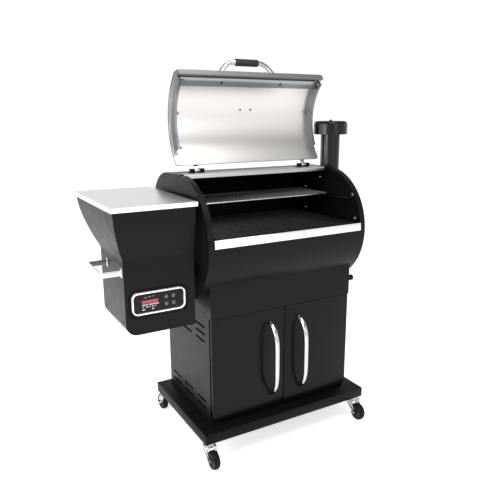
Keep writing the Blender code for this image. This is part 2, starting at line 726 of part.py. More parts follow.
def lid_shell():
    """The curved skin with its folded front flange and a rib along each side."""
    x = LID_LENGTH / 2
    bend = [on_lid(LID_R, LID_REAR_ANGLE + (LID_FRONT_ANGLE - LID_REAR_ANGLE) * i / 30) for i in range(31)]
    skin = sheet("lid_shell", bend, -x, x, STEEL)
    fold = HALF_BARREL - BAND_WIDTH - 0.003
    edge = LID_FRONT_ANGLE + 0.3
    flange = [on_lid(LID_R - 0.0005, edge), on_lid(LID_R - LID_FLANGE, edge)]
    fuse(skin, sheet("lid_flange", flange, -fold, fold))
    outer, inner = LID_R, LID_R - SHEET / 2 - LID_RIB
    angles = [LID_FRONT_ANGLE + 6 + 72 * i / 20 for i in range(21)]
    outline = [on_lid(outer, a) for a in angles] + [on_lid(inner, a) for a in reversed(angles)]
    ribs = []
    for sign in (-1, 1):
        rib_x = sign * LID_RIB_X
        ribs.append(plate("lid_rib_" + side(sign), "YZ", rib_x - SHEET / 2, rib_x + SHEET / 2, outline))
    return fuse(skin, *ribs)


def lid_lip():
    """The flat stiffener inside the lid's front edge, which the handle is bolted through."""
    middle = Vector(on_lid(LID_R - 0.007, LIP_ANGLE))
    a = math.radians(LIP_ANGLE)
    along = Vector((math.sin(a), math.cos(a)))
    ends = [middle + along * LIP_HEIGHT / 2, middle - along * LIP_HEIGHT / 2]
    x = LID_RIB_X - 0.006
    return sheet("lid_lip", [tuple(e) for e in ends], -x, x, STEEL)


def lid_handle():
    """The bowed tube across the lid's front, and the grip over its middle."""
    foot = LID_R + SHEET / 2 + GAP
    rise = [(1.0, 0.0), (1.0, 0.06), (0.985, 0.20), (0.93, 0.42), (0.83, 0.68), (0.70, 0.87), (0.55, 0.97)]
    half = GRIP_SPAN / 2
    line = [(-half * along, up) for along, up in rise] + [(-GRIP_LENGTH / 2 - 0.003, 1.0)]
    line = line + [(-x, up) for x, up in reversed(line)]
    points = [(x, *on_lid(foot + GRIP_REACH * up, LIP_ANGLE - GRIP_DROOP * up * up)) for x, up in line]
    handle = tube("lid_handle", points, GRIP_TUBE_R, CHROME)
    edge = 0.004
    half = GRIP_LENGTH / 2
    bore = GRIP_TUBE_R + GAP
    profile = [(bore, half), (GRIP_R - edge, half), (GRIP_R, half - edge), (GRIP_R, -half + edge),
               (GRIP_R - edge, -half), (bore, -half)]
    at = (0, *on_lid(foot + GRIP_REACH, LIP_ANGLE - GRIP_DROOP))
    return handle, turned("lid_grip", profile, at, (1, 0, 0), RUBBER, ring=True, steps=24)


def hinge_base(sign):
    """A hinge's fixed half: leaf, two knuckles and the pin."""
    x, half = sign * HINGE_X, HINGE_LENGTH / 2
    inner = HINGE_LENGTH / 6
    top = BARREL_TOP + GAP
    leaf = box("hinge_base_" + side(sign), (x - half, HINGE_Y - 0.006, top),
               (x + half, HINGE_Y + 0.030, top + 0.002), STEEL)
    for end in (-1, 1):
        low, high = sorted((x + end * half, x + end * (inner + GAP)))
        web = box("hinge_web", (low, HINGE_Y - 0.004, top + 0.001), (high, HINGE_Y + 0.004, HINGE.z))
        knuckle = rod("hinge_knuckle", (low, HINGE_Y, HINGE.z), (high, HINGE_Y, HINGE.z), KNUCKLE_R)
        fuse(leaf, web, knuckle)
    fuse(leaf, rod("hinge_pin", (x - half + 0.004, HINGE_Y, HINGE.z), (x + half - 0.004, HINGE_Y, HINGE.z),
                   HINGE_PIN_R, sides=16))


def hinge_leaf(sign):
    """A hinge's moving half, lying on the lid's skin when the lid is shut."""
    x, half = sign * HINGE_X, HINGE_LENGTH / 6
    skin_top = BARREL_CENTRE_Z + LID_R + SHEET / 2
    low = skin_top + GAP
    leaf = box("hinge_leaf_" + side(sign), (x - half, BARREL_Y + 0.012, low),
               (x + half, HINGE_Y, low + 0.002), STEEL)
    knuckle = rod("leaf_knuckle", (x - half, HINGE_Y, HINGE.z), (x + half, HINGE_Y, HINGE.z), KNUCKLE_R)
    bore = rod("leaf_bore", (x - half - 0.01, HINGE_Y, HINGE.z), (x + half + 0.01, HINGE_Y, HINGE.z),
               HINGE_PIN_R + GAP, sides=16)
    return cut(fuse(leaf, knuckle), bore)


# ---------------------------------------------------------------- inside the barrel
def grate(name, front, back, z, columns, rows, bar):
    """A flat grate: a plate with rows of slots between its bars."""
    half = GRATE_HALF
    wide = (2 * half - bar) / columns
    deep = (back - front - bar) / rows
    slots = []
    for i in range(columns):
        for j in range(rows):
            x, y = -half + bar + wide * i, front + bar + deep * j
            slots.append([(x, y), (x + wide - bar, y), (x + wide - bar, y + deep - bar), (x, y + deep - bar)])
    outline = [(-half, front), (half, front), (half, back), (-half, back)]
    plate(name, "XY", z - GRATE_THICK / 2, z + GRATE_THICK / 2, outline, IRON, slots)


def drip_tray():
    """The grease tray under the grates, falling towards the spout's end."""
    low = BARREL_CENTRE_Z - 0.075
    x, y = GRATE_HALF - 0.010, 0.205
    bm = bmesh.new()
    path = [(-y, low + 0.018), (-y, low), (y, low), (y, low + 0.018)]
    left = [bm.verts.new((-x, py, pz + TRAY_SLOPE)) for py, pz in path]
    right = [bm.verts.new((x, py, pz)) for py, pz in path]
    for i in range(len(path) - 1):
        bm.faces.new((left[i], left[i + 1], right[i + 1], right[i]))
    thicken(from_bmesh("drip_tray", bm, IRON), SHEET)


def fire_pot():
    """The fire pot: a cup, open at the top, with a mouth for the auger tube."""
    low = BARREL_BOTTOM + SHEET + GAP
    high = low + POT_HEIGHT
    wall = 0.004
    profile = [(0, wall), (POT_R - wall, wall), (POT_R - wall, POT_HEIGHT), (POT_R, POT_HEIGHT),
               (POT_R, 0), (0, 0)]
    pot = turned("fire_pot", profile, (POT_X, AUGER_Y, low), (0, 0, 1), IRON, ring=False, steps=28)
    reach = POT_R + 0.02
    mouth = rod("pot_mouth", (POT_X - reach, AUGER_Y, AUGER_Z), (POT_X, AUGER_Y, AUGER_Z), AUGER_R)
    cut(pot, mouth)
    lid_z = high + 0.030
    sheet_half = 0.090
    path = [(-sheet_half, lid_z - 0.020), (0, lid_z), (sheet_half, lid_z - 0.020)]
    sheet("flame_deflector", [(AUGER_Y + y, z) for y, z in path], POT_X - 0.110, POT_X + 0.110, IRON)


def auger():
    """The auger tube, the screw that turns in it, and the gear motor on its end."""
    right = POT_X - POT_R - GAP - 0.002
    outer, inner = AUGER_TUBE_R, AUGER_TUBE_R - SHEET
    length = right - AUGER_LEFT
    profile = [(inner, length), (outer, length), (outer, 0), (inner, 0)]
    barrel = turned("auger_tube", profile, (AUGER_LEFT, AUGER_Y, AUGER_Z), (1, 0, 0), STEEL,
                    ring=True, steps=24)
    feed = box("auger_feed", (AUGER_LEFT + 0.020, AUGER_Y - 0.016, AUGER_Z),
               (AUGER_LEFT + 0.080, AUGER_Y + 0.016, AUGER_Z + 0.05))
    cut(barrel, feed)
    start = AUGER_LEFT + 0.006
    end = right - 0.010
    flight(start, end)
    low = (AUGER_LEFT - 0.060, AUGER_Y - 0.032, AUGER_Z - 0.040)
    high = (AUGER_LEFT - 0.008, AUGER_Y + 0.032, AUGER_Z + 0.030)
    motor = box("auger_motor", low, high, GREY)
    can = rod("motor_can", (AUGER_LEFT - 0.034, AUGER_Y, AUGER_Z - 0.080),
              (AUGER_LEFT - 0.034, AUGER_Y, AUGER_Z - 0.038), 0.021)
    fuse(motor, can)


def flight(start, end):
    """The auger screw: a helical flight swept round its core."""
    turns = (end - start - 0.02) / AUGER_PITCH
    steps = int(turns * 12)
    core, rim, half = AUGER_CORE_R, AUGER_R - GAP, 0.0015
    bm = bmesh.new()
    rows = []
    for i in range(steps + 1):
        a = 2 * math.pi * turns * i / steps
        x = start + 0.01 + AUGER_PITCH * turns * i / steps
        spin = (math.cos(a), math.sin(a))
        section = [(core * 0.6, -half), (rim, -half), (rim, half), (core * 0.6, half)]
        rows.append([bm.verts.new((x + h, AUGER_Y + r * spin[0], AUGER_Z + r * spin[1])) for r, h in section])
    for low, high in zip(rows, rows[1:]):
        for i in range(4):
            j = (i + 1) % 4
            bm.faces.new((low[i], low[j], high[j], high[i]))
    bm.faces.new(rows[0])
    bm.faces.new(rows[-1])
    turn = pivot("auger_pivot", (start, AUGER_Y, AUGER_Z))
    blade = from_bmesh("screw_flight", bm)
    shaft = rod("auger_screw", (start, AUGER_Y, AUGER_Z), (end, AUGER_Y, AUGER_Z), core, STEEL, sides=16)
    hang(fuse(shaft, blade), turn)


def blower():
    """The combustion blower: a round housing with a bladed rotor inside."""
    half = FAN_WIDTH / 2
    wall = FAN_R + 0.004
    profile = [(FAN_R, half), (wall, half), (wall, -half), (0.012, -half), (0.012, -half + 0.002),
               (FAN_R, -half + 0.002)]
    turned("blower_housing", profile, (FAN_X, FAN_Y, FAN_Z), (1, 0, 0), GREY, ring=True, steps=28)
    turn = pivot("blower_pivot", (FAN_X, FAN_Y, FAN_Z))
    hub = rod("blower_rotor", (FAN_X - half + 0.004, FAN_Y, FAN_Z),
              (FAN_X + half - 0.002, FAN_Y, FAN_Z), 0.011, GREY, sides=18)
    for i in range(BLADES):
        a = 2 * math.pi * i / BLADES
        blade = box("fan_blade", (-half + 0.006, 0.008, -0.001), (half - 0.004, FAN_R - 0.003, 0.001))
        blade.data.transform(Matrix.Rotation(a, 4, "X"))
        blade.data.transform(Matrix.Translation((FAN_X, FAN_Y, FAN_Z)))
        fuse(hub, blade)
    hang(hub, turn)


# ---------------------------------------------------------------- hopper
def hopper_ring(t, inset):
    """The hopper's section, a rectangle: t runs from 0 at the top to 1 at the crease."""
    ease = t ** 1.8
    left = HOPPER_LEFT + (BASE_LEFT - HOPPER_LEFT) * ease + inset
    right = HOPPER_RIGHT + (BASE_RIGHT - HOPPER_RIGHT) * ease - inset
    front = HOPPER_FRONT + (BASE_FRONT - HOPPER_FRONT) * ease + inset
    back = HOPPER_BACK + (BASE_BACK - HOPPER_BACK) * ease - inset
    z = HOPPER_TOP + (CREASE_Z - HOPPER_TOP) * t
    return [(left, front, z), (right, front, z), (right, back, z), (left, back, z)]


def hopper_shell():
    """The hopper's tapering outer shell with the lugs of its lid's hinge."""
    rings = [hopper_ring(i / 8, SHEET / 2) for i in range(9)]
    shell = loft("hopper_shell", rings, BLACK)
    thicken(shell, SHEET)
    for x in hinge_lugs():
        lug = box("hopper_lug", (x - 0.004, HOPPER_BACK - SHEET * 0.5, HOPPER_PIN_Z - 0.020),
                  (x + 0.004, HOPPER_PIN_Y + 0.006, HOPPER_PIN_Z + 0.006))
        hole = rod("lug_hole", (x - 0.01, HOPPER_PIN_Y, HOPPER_PIN_Z), (x + 0.01, HOPPER_PIN_Y, HOPPER_PIN_Z),
                   HOPPER_PIN_R + GAP, sides=12)
        fuse(shell, lug)
        cut(shell, hole)


def hinge_lugs():
    """Where the hopper lid's hinge lugs stand along X."""
    middle = (HOPPER_LEFT + HOPPER_RIGHT) / 2
    return [middle - 0.125, middle + 0.125]


def hopper_lid():
    """The hopper's lid: a shallow pan over the hopper's rim, hinged at the back."""
    over = HOPPER_LID_OVERHANG
    top = HOPPER_TOP + 0.006
    low = (HOPPER_LEFT - over, HOPPER_FRONT - over, top - HOPPER_LID_HEIGHT)
    high = (HOPPER_RIGHT + over, HOPPER_BACK + over, top)
    turn = pivot("hopper_lid_pivot", (0, HOPPER_PIN_Y, HOPPER_PIN_Z))
    pan = box("hopper_lid", low, high, STEEL)
    inside = box("lid_inside", (low[0] + SHEET, low[1] + SHEET, low[2] - SHEET),
                 (high[0] - SHEET, high[1] - SHEET, top - SHEET))
    cut(pan, inside)
    ends = hinge_lugs()
    gate = [box("lug_gate", (x - 0.007, HOPPER_BACK - 0.002, low[2] - SHEET),
                (x + 0.007, high[1] + 0.01, HOPPER_PIN_Z + 0.007)) for x in ends]
    cut(pan, *gate)
    knuckle = rod("lid_knuckle", (ends[0] + 0.010, HOPPER_PIN_Y, HOPPER_PIN_Z),
                  (ends[1] - 0.010, HOPPER_PIN_Y, HOPPER_PIN_Z), 0.0055, sides=16)
    web = box("knuckle_web", (ends[0] + 0.010, high[1] - SHEET, HOPPER_PIN_Z - 0.0015),
              (ends[1] - 0.010, HOPPER_PIN_Y - 0.001, HOPPER_PIN_Z + 0.0015))
    bore = rod("knuckle_bore", (ends[0], HOPPER_PIN_Y, HOPPER_PIN_Z), (ends[1], HOPPER_PIN_Y, HOPPER_PIN_Z),
               HOPPER_PIN_R + GAP, sides=12)
    cut(fuse(pan, web, knuckle), bore)
    hang(pan, turn)
    rod("hopper_hinge_pin", (ends[0] - 0.008, HOPPER_PIN_Y, HOPPER_PIN_Z),
        (ends[1] + 0.008, HOPPER_PIN_Y, HOPPER_PIN_Z), HOPPER_PIN_R, STEEL, sides=12)


def hopper_bin():
    """The inner funnel that leads the pellets to the auger."""
    walls = [hopper_ring(t, 0.016) for t in (0.06, 0.3, 0.5, 0.7, 0.85, 1)]
    x, y, z = AUGER_LEFT + 0.050, AUGER_Y, AUGER_Z + AUGER_TUBE_R + 0.003
    corner = ((-0.030, -0.018), (0.030, -0.018), (0.030, 0.018), (-0.030, 0.018))
    spout = [(x + dx, y + dy, z) for dx, dy in corner]
    neck = [(px, py, pz + 0.012) for px, py, pz in spout]
    thicken(loft("hopper_bin", [*walls, neck, spout], STEEL), 0.0015)


def base_outline(inset):
    """The housing's front outline: square on top, with a rounded lower outer corner."""
    left, right = BASE_LEFT + inset, BASE_RIGHT - inset
    bottom, top = BASE_BOTTOM + inset, CREASE_Z - SHEET
    corner = arc((BASE_LEFT + BASE_CORNER, BASE_BOTTOM + BASE_CORNER), BASE_CORNER - inset, 180, 270, 8)
    return [(left, top)] + corner + [(right, bottom), (right, top)]


def hopper_base():
    """The housing under the hopper: open on top, with a window for the controls."""
    shell = plate("hopper_base", "XZ", BASE_FRONT, BASE_BACK, base_outline(0), BLACK)
    hollow = [(x, z + 0.02 if z > CREASE_Z - 0.01 else z) for x, z in base_outline(SHEET)]
    inside = plate("base_inside", "XZ", BASE_FRONT + SHEET, BASE_BACK - SHEET, hollow)
    shape = rounded((PANEL_X, PANEL_Z), PANEL_WIDTH + 2 * PANEL_MARGIN, PANEL_HEIGHT + 2 * PANEL_MARGIN,
                    PANEL_RADIUS + PANEL_MARGIN, 6)
    window = plate("panel_window", "XZ", BASE_FRONT - 0.01, BASE_FRONT + 0.01, shape)
    feed = rod("base_hole", (BASE_RIGHT - 0.02, AUGER_Y, AUGER_Z), (BASE_RIGHT + 0.02, AUGER_Y, AUGER_Z),
               AUGER_TUBE_R + GAP)
    socket = box("inlet_hole", (INLET_X - 0.024 - GAP, BASE_BACK - 0.01, INLET_Z - 0.014 - GAP),
                 (INLET_X + 0.024 + GAP, BASE_BACK + 0.01, INLET_Z + 0.014 + GAP))
    cut(shell, inside, window, feed, socket)


INLET_X = BASE_LEFT + 0.120
INLET_Z = BASE_BOTTOM + 0.090


def power_inlet():
    """The socket for a mains lead, let into the housing's back."""
    block = box("power_inlet", (INLET_X - 0.024, BASE_BACK - 0.022, INLET_Z - 0.014),
                (INLET_X + 0.024, BASE_BACK + GAP, INLET_Z + 0.014), RUBBER)
    flange = box("inlet_flange", (INLET_X - 0.031, BASE_BACK + GAP, INLET_Z - 0.020),
                 (INLET_X + 0.031, BASE_BACK + 0.0025, INLET_Z + 0.020))
    well = box("inlet_well", (INLET_X - 0.019, BASE_BACK - 0.016, INLET_Z - 0.010),
               (INLET_X + 0.019, BASE_BACK + 0.01, INLET_Z + 0.010))
    cut(fuse(block, flange), well)


def controls():
    """The recessed panel: a dish with a raised bezel, the dark window and its push buttons."""
    width, height = PANEL_WIDTH + 2 * PANEL_MARGIN - 2 * GAP, PANEL_HEIGHT + 2 * PANEL_MARGIN - 2 * GAP
    at, radius = (PANEL_X, PANEL_Z), PANEL_RADIUS + PANEL_MARGIN - GAP
    floor = BASE_FRONT + RECESS
    dish = plate("control_bezel", "XZ", BASE_FRONT, floor + SHEET, rounded(at, width, height, radius), WHITE)
    hollow = plate("dish_hollow", "XZ", BASE_FRONT - 0.01, floor,
                   rounded(at, width - 2 * SHEET, height - 2 * SHEET, radius - SHEET))
    inner = rounded(at, PANEL_WIDTH - 2 * BEZEL_WALL, PANEL_HEIGHT - 2 * BEZEL_WALL,
                    PANEL_RADIUS - BEZEL_WALL)
    frame = plate("bezel_ring", "XZ", BASE_FRONT - BEZEL_RISE, floor + SHEET / 2,
                  rounded(at, PANEL_WIDTH, PANEL_HEIGHT, PANEL_RADIUS), holes=[inner])
    fuse(cut(dish, hollow), frame)
    shape = rounded(at, PANEL_WIDTH - 2 * BEZEL_WALL - 2 * GAP, PANEL_HEIGHT - 2 * BEZEL_WALL - 2 * GAP,
                    PANEL_RADIUS - BEZEL_WALL - GAP)
    face = BASE_FRONT + 0.003
    spots = [(PANEL_X + dx, PANEL_Z + dz) for dx in BUTTON_X for dz in (BUTTON_Z, -BUTTON_Z)]
    holes = [arc(spot, BUTTON_R + GAP, 0, 345, 23) for spot in spots]
    plate("control_screen", "XZ", face, floor - GAP, shape, GLASS, holes)
    for i, (x, z) in enumerate(spots):
        turn = pivot("button_pivot_%d" % (i + 1), (x, face, z))
        cap = rod("button_%d" % (i + 1), (x, face - 0.0020, z),
                  (x, floor - GAP - BUTTON_TRAVEL - GAP, z), BUTTON_R, GLASS)
        edge = cap.modifiers.new("edge", "BEVEL")
        edge.width = 0.0006
        edge.segments = 1
        edge.limit_method = "ANGLE"
        hang(cap, turn)


def strap_handle():
    """The bent strap on the hopper housing's outer side, with a foot at each end."""
    face = BASE_LEFT - GAP
    out = face - STRAP_REACH
    bend = 0.012
    back = STRAP_FRONT + STRAP_SPAN
    path = [(face - STRAP_THICK / 2, STRAP_FRONT)]
    path += list(reversed(arc((out + bend, STRAP_FRONT + bend), bend, 180, 270, 4)))
    path += list(reversed(arc((out + bend, back - bend), bend, 90, 180, 4)))
    path += [(face - STRAP_THICK / 2, back)]
    low, high = STRAP_Z - STRAP_HEIGHT / 2, STRAP_Z + STRAP_HEIGHT / 2
    strap = loft("hopper_handle", [[(x, y, z) for x, y in path] for z in (low, high)], STEEL, closed=False)
    thicken(strap, STRAP_THICK)
    for y in (STRAP_FRONT, back):
        foot = box("strap_foot", (face - STRAP_THICK, y - 0.009, STRAP_Z - 0.017),
                   (face, y + 0.009, STRAP_Z + 0.017))
        fuse(strap, foot)


# ---------------------------------------------------------------- assembly
def centre_on_floor():
    """Moves the whole grill so that the origin is on the floor under the middle of its box."""
    bpy.context.view_layer.update()
    graph = bpy.context.evaluated_depsgraph_get()
    xs, ys = [], []
    for obj in parts.objects:
        if obj.type != "MESH":
            continue
        seen = obj.evaluated_get(graph)
        for corner in seen.bound_box:
            at = seen.matrix_world @ Vector(corner)
            xs.append(at.x)
            ys.append(at.y)
    middle = Vector((round((min(xs) + max(xs)) / 2, 3), round((min(ys) + max(ys)) / 2, 3), 0))
    for obj in [*parts.objects, *cutters.objects]:
        if not obj.parent:
            obj.location -= middle


def build():
    """Builds every sub-part."""
    for obj in list(bpy.data.objects):
        bpy.data.objects.remove(obj)
    bpy.context.scene.collection.children.link(parts)
    bpy.context.scene.collection.children.link(cutters)
    base_tray()
    cabinet_back()
    cabinet_floor()
    fascia()
    drain_spout()
    barrel_shell()
    front_strip()
    chimney()
    lid()
    grate("main_grate_front", GRATE_FRONT, GRATE_SPLIT - GAP, GRATE_Z, 17, 4, 0.006)
    grate("main_grate_rear", GRATE_SPLIT + GAP, GRATE_BACK, GRATE_Z, 17, 3, 0.006)
    grate("upper_rack", RACK_FRONT, RACK_BACK, RACK_Z, 25, 2, 0.006)
    drip_tray()
    fire_pot()
    auger()
    blower()
    hopper_shell()
    hopper_lid()
    hopper_bin()
    hopper_base()
    power_inlet()
    controls()
    strap_handle()
    for sign in (-1, 1):
        cabinet_side(sign)
        door(sign)
        end_plate(sign)
        for sign_y in (-1, 1):
            caster(sign, sign_y)
    centre_on_floor()


build()
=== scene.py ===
# %% [markdown]
# # A pellet smoker grill
# The measured parts of the grill come in as a fixed frame. This lesson dresses that frame:
# every panel gets its real finish, the plain parts are replaced by detailed ones, and a
# plain studio is set up round it. Lengths are in metres, +Z is up and the front faces -Y.

import json
import math

import bmesh
import bpy
from mathutils import Matrix, Vector


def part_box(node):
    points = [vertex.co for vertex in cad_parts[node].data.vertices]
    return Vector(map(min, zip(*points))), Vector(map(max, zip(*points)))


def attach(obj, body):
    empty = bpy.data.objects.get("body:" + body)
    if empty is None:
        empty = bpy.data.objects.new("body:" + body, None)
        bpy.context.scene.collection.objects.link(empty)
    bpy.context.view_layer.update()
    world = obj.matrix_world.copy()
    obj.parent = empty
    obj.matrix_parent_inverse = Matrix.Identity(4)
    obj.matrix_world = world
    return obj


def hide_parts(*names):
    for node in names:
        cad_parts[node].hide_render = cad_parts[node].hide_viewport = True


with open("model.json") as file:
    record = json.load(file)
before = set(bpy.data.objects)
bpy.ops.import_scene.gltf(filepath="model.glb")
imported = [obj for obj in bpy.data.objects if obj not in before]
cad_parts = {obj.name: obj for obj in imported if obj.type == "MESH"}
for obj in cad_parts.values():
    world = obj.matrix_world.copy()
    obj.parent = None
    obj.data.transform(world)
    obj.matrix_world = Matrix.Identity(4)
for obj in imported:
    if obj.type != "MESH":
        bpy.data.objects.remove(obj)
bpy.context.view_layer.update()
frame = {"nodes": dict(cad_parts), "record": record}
bodies = frame["record"]["behaviour"]["bodies"]
body_of_node = {node: body for body, nodes in bodies.items() for node in nodes}

# %% [markdown]
# The grill is built about the middle of its cupboard, which isn't the middle of the whole
# box, because the hopper hangs on one side. So one value says where that middle is.

# %% Places that the pieces share
tray_low, tray_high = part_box("base_tray")
MID = (tray_low[0] + tray_high[0]) / 2
TRAY_TOP = tray_high[2]
BARREL_Y, BARREL_Z, BARREL_R = -0.014, 0.916, 0.258
BARREL_TOP = BARREL_Z + BARREL_R
HINGE = Vector((MID, 0.053, BARREL_TOP + 0.010))
LID_OPEN = math.radians(122)
print("the cupboard's middle is at x =", round(MID, 4))

# %% [markdown]
# A colour is given in sRGB, but the renderer adds up light, so the hex value is
# turned to linear once, in one place. Each material is a Principled shader, and one small
# function adds a node with its settings and its links, whatever kind of node it is.

# %% Colour and node helpers


def hex_linear(code):
    """An sRGB hex colour as linear red, green, blue and alpha."""
    channels = [int(code[i:i + 2], 16) / 255 for i in (0, 2, 4)]
    return [c / 12.92 if c <= 0.04045 else ((c + 0.055) / 1.055) ** 2.4 for c in channels] + [1.0]


def add_node(tree, kind, settings=None, links=None):
    """Adds a node. Settings name a property or an input socket; links say input: output socket."""
    node = tree.nodes.new(kind)
    for key, value in (settings or {}).items():
        if isinstance(key, str) and hasattr(node, key):
            setattr(node, key, value)
        else:
            node.inputs[key].default_value = value
    for key, source in (links or {}).items():
        tree.links.new(source, node.inputs[key])
    return node


def new_material(name, colour, roughness, **more):
    """A Principled material; returns it with its tree, its shader and object coordinates."""
    made = bpy.data.materials.new(name)
    made.use_nodes = True
    tree = made.node_tree
    shader = tree.nodes["Principled BSDF"]
    shader.inputs["Base Color"].default_value = hex_linear(colour)
    shader.inputs["Roughness"].default_value = roughness
    for key, value in more.items():
        shader.inputs[key.replace("_", " ").title().replace("Ior", "IOR")].default_value = value
    shader.label = name
    coordinates = add_node(tree, "ShaderNodeTexCoord").outputs["Object"]
    return made, tree, shader, coordinates


def vary_roughness(tree, shader, source, low, high):
    """Drives the roughness between two values, from a pattern that runs from 0.3 to 0.7."""
    limits = {"From Min": 0.3, "From Max": 0.7, "To Min": low, "To Max": high}
    spread = add_node(tree, "ShaderNodeMapRange", limits, {"Value": source})
    tree.links.new(spread.outputs["Result"], shader.inputs["Roughness"])


def bump_by(tree, shader, source, height_mm, strength=1.0):
    """Raises the surface by a pattern, to a height in millimetres."""
    bump = add_node(tree, "ShaderNodeBump", {"Strength": strength, "Distance": height_mm / 1000},
                    {"Height": source})
    tree.links.new(bump.outputs["Normal"], shader.inputs["Normal"])


def noise(tree, coordinates, size_mm, detail=3.0, stretch=(1, 1, 1)):
    """A noise pattern whose blobs are about size_mm across; stretch makes them longer."""
    shrink = {"Scale": [1 / s for s in stretch]}
    scaled = add_node(tree, "ShaderNodeMapping", shrink, {"Vector": coordinates})
    made = add_node(tree, "ShaderNodeTexNoise", {"Scale": 1000 / size_mm, "Detail": detail},
                    {"Vector": scaled.outputs["Vector"]})
    return made.outputs["Fac"]


# %% [markdown]
# ## Finishes
# The dark panels are mild steel with a baked powder coat. It flows out to a faint orange
# peel with bumps 1 to 2 mm apart, so its gloss is soft, and it never shines like paint on
# a car. The grates are steel under porcelain enamel, which has a wetter gloss, and the
# warming rack's enamel is grey.

# %% Powder coat and enamel


def powder_coat(name, colour, low, high, peel_mm=0.030, gloss=0.13):
    """A dark coating on steel: powder coat, or enamel with a wetter gloss."""
    made, tree, shader, at = new_material(name, colour, 0.4, ior=1.5)
    shader.inputs["Specular IOR Level"].default_value = gloss
    peel = noise(tree, at, 1.6, 2.0)
    patches = noise(tree, at, 45.0, 3.0)
    vary_roughness(tree, shader, patches, low, high)
    bump_by(tree, shader, peel, peel_mm, 0.35)
    return made


coat = powder_coat("satin_powder_coat", "0f0f10", 0.30, 0.38)
door_coat = powder_coat("glossy_powder_coat", "0d0d0e", 0.20, 0.27, 0.018)
tray_coat = powder_coat("tray_powder_coat", "0b0b0c", 0.40, 0.50, gloss=0.1)
chimney_coat = powder_coat("heat_proof_gloss_paint", "0c0c0d", 0.16, 0.22, 0.012, 0.3)
enamel = powder_coat("porcelain_enamel", "1c1c1c", 0.26, 0.40, 0.020, 0.5)
rack_enamel = powder_coat("grey_rack_enamel", "727272", 0.28, 0.40, 0.020, 0.9)
print("coats:", coat.name, door_coat.name, enamel.name)

# %% [markdown]
# The lid, the strip and the hopper lid are stainless steel, brushed with an abrasive belt
# along their length. The scratches are far under a millimetre wide, so they are drawn
# 1.2 mm wide and a few hundred long. They widen the highlight across the grain, which is
# what anisotropy does. The tubes are chrome plate, which is nearly a mirror.

# %% Steels and chrome


def brushed_steel(name, colour, roughness, along=(200, 1, 1), line_mm=1.2):
    """Brushed stainless steel; along says which axis the grain runs on."""
    made, tree, shader, at = new_material(name, colour, roughness, metallic=1.0)
    grain = noise(tree, at, line_mm, 2.0, along)
    vary_roughness(tree, shader, grain, roughness - 0.03, roughness + 0.04)
    bump_by(tree, shader, grain, 0.004, 0.10)
    return made


lid_steel = brushed_steel("brushed_stainless_lid", "dbd8d5", 0.34)
# painted shade: the lid's hem, ribs and front fold are the lid's own stainless steel, given a darker grey
# base to stand in for the shade on them
rim_steel_painted_shade = brushed_steel("brushed_stainless_rim_painted_shade", "8c8c8e", 0.36)
# painted shade: the handle strip along the lid's lip is the same stainless steel, made a duller grey to
# stand in for the shade along the lip
lip_steel_painted_shade = brushed_steel("brushed_stainless_lip_painted_shade", "a2a2a4", 0.38)
strip_steel = brushed_steel("brushed_stainless_strip", "f0f0f0", 0.24)
# painted highlight: the hopper lid's stainless steel has a pure white base, brighter than the lid's, to
# stand in for the bright light on it
shelf_steel_painted_highlight = brushed_steel("brushed_stainless_shelf_painted_highlight", "ffffff", 0.32, (1, 200, 1))
ledge_steel = brushed_steel("brushed_stainless_ledge", "b8b8ba", 0.30)
pressed_steel = brushed_steel("pressed_stainless", "d8d8d8", 0.22, (1, 1, 40))
zinc_steel = brushed_steel("galvanised_steel", "9ba0a4", 0.42, (1, 1, 1), 14.0)

chrome, chrome_tree, chrome_shader, chrome_at = new_material("chrome_plate", "c6c6c8", 0.08,
                                                             metallic=1.0)
vary_roughness(chrome_tree, chrome_shader, noise(chrome_tree, chrome_at, 30.0), 0.06, 0.12)
print("metals:", lid_steel.name, chrome.name)

# %% [markdown]
# The tyres and the grip are moulded rubber, dull with a fine grain. The wheel hubs are
# dark grey nylon. The control panel is a sheet of black acrylic in a white moulded ring, with
# a small lit display behind it.

# %% Rubber, nylon and the panel's plastics


def moulded(name, colour, low, high, grain_mm, height_mm, **more):
    """A moulded plastic or rubber with a fine grain."""
    made, tree, shader, at = new_material(name, colour, low, **more)
    vary_roughness(tree, shader, noise(tree, at, 22.0), low, high)
    bump_by(tree, shader, noise(tree, at, grain_mm), height_mm, 0.4)
    return made


rubber = moulded("moulded_rubber", "151515", 0.55, 0.70, 0.9, 0.03, ior=1.52)
tyre_rubber = moulded("tyre_rubber", "0c0c0c", 0.50, 0.65, 0.9, 0.03, specular_ior_level=0.15)
nylon = moulded("grey_nylon", "222223", 0.34, 0.44, 1.2, 0.02, specular_ior_level=0.2)
ring_plastic = moulded("white_abs_ring", "f4f4f4", 0.22, 0.30, 2.0, 0.01, ior=1.54)
socket_plastic = moulded("black_nylon", "141414", 0.40, 0.50, 1.0, 0.02, ior=1.53)
acrylic = moulded("black_acrylic", "0b0b0c", 0.06, 0.10, 4.0, 0.003, specular_ior_level=0.2)


def lit(name, colour, strength):
    """A display segment: lacquered print with light behind it."""
    made, tree, shader, at = new_material(name, colour, 0.35, emission_strength=strength)
    shader.inputs["Emission Color"].default_value = hex_linear(colour)
    vary_roughness(tree, shader, noise(tree, at, 6.0), 0.30, 0.40)
    return made


red_light = lit("red_display", "a82f40", 0.30)
white_light = lit("white_display", "b4b4b4", 0.12)
teal_light = lit("teal_mark", "5f8a8e", 0.05)
icon_print = lit("icon_print", "8c8c8c", 0.03)
print("plastics:", rubber.name, acrylic.name)

# %% [markdown]
# ## Mesh tools
# Most panels are sheet metal, and most of the rest is turned or bent tube. Each of these
# has one tool: a path bent in one plane and run along X, a profile turned round an axis,
# a tube along points, and an outline cut from plate. All give closed solids.

# %% Mesh tools


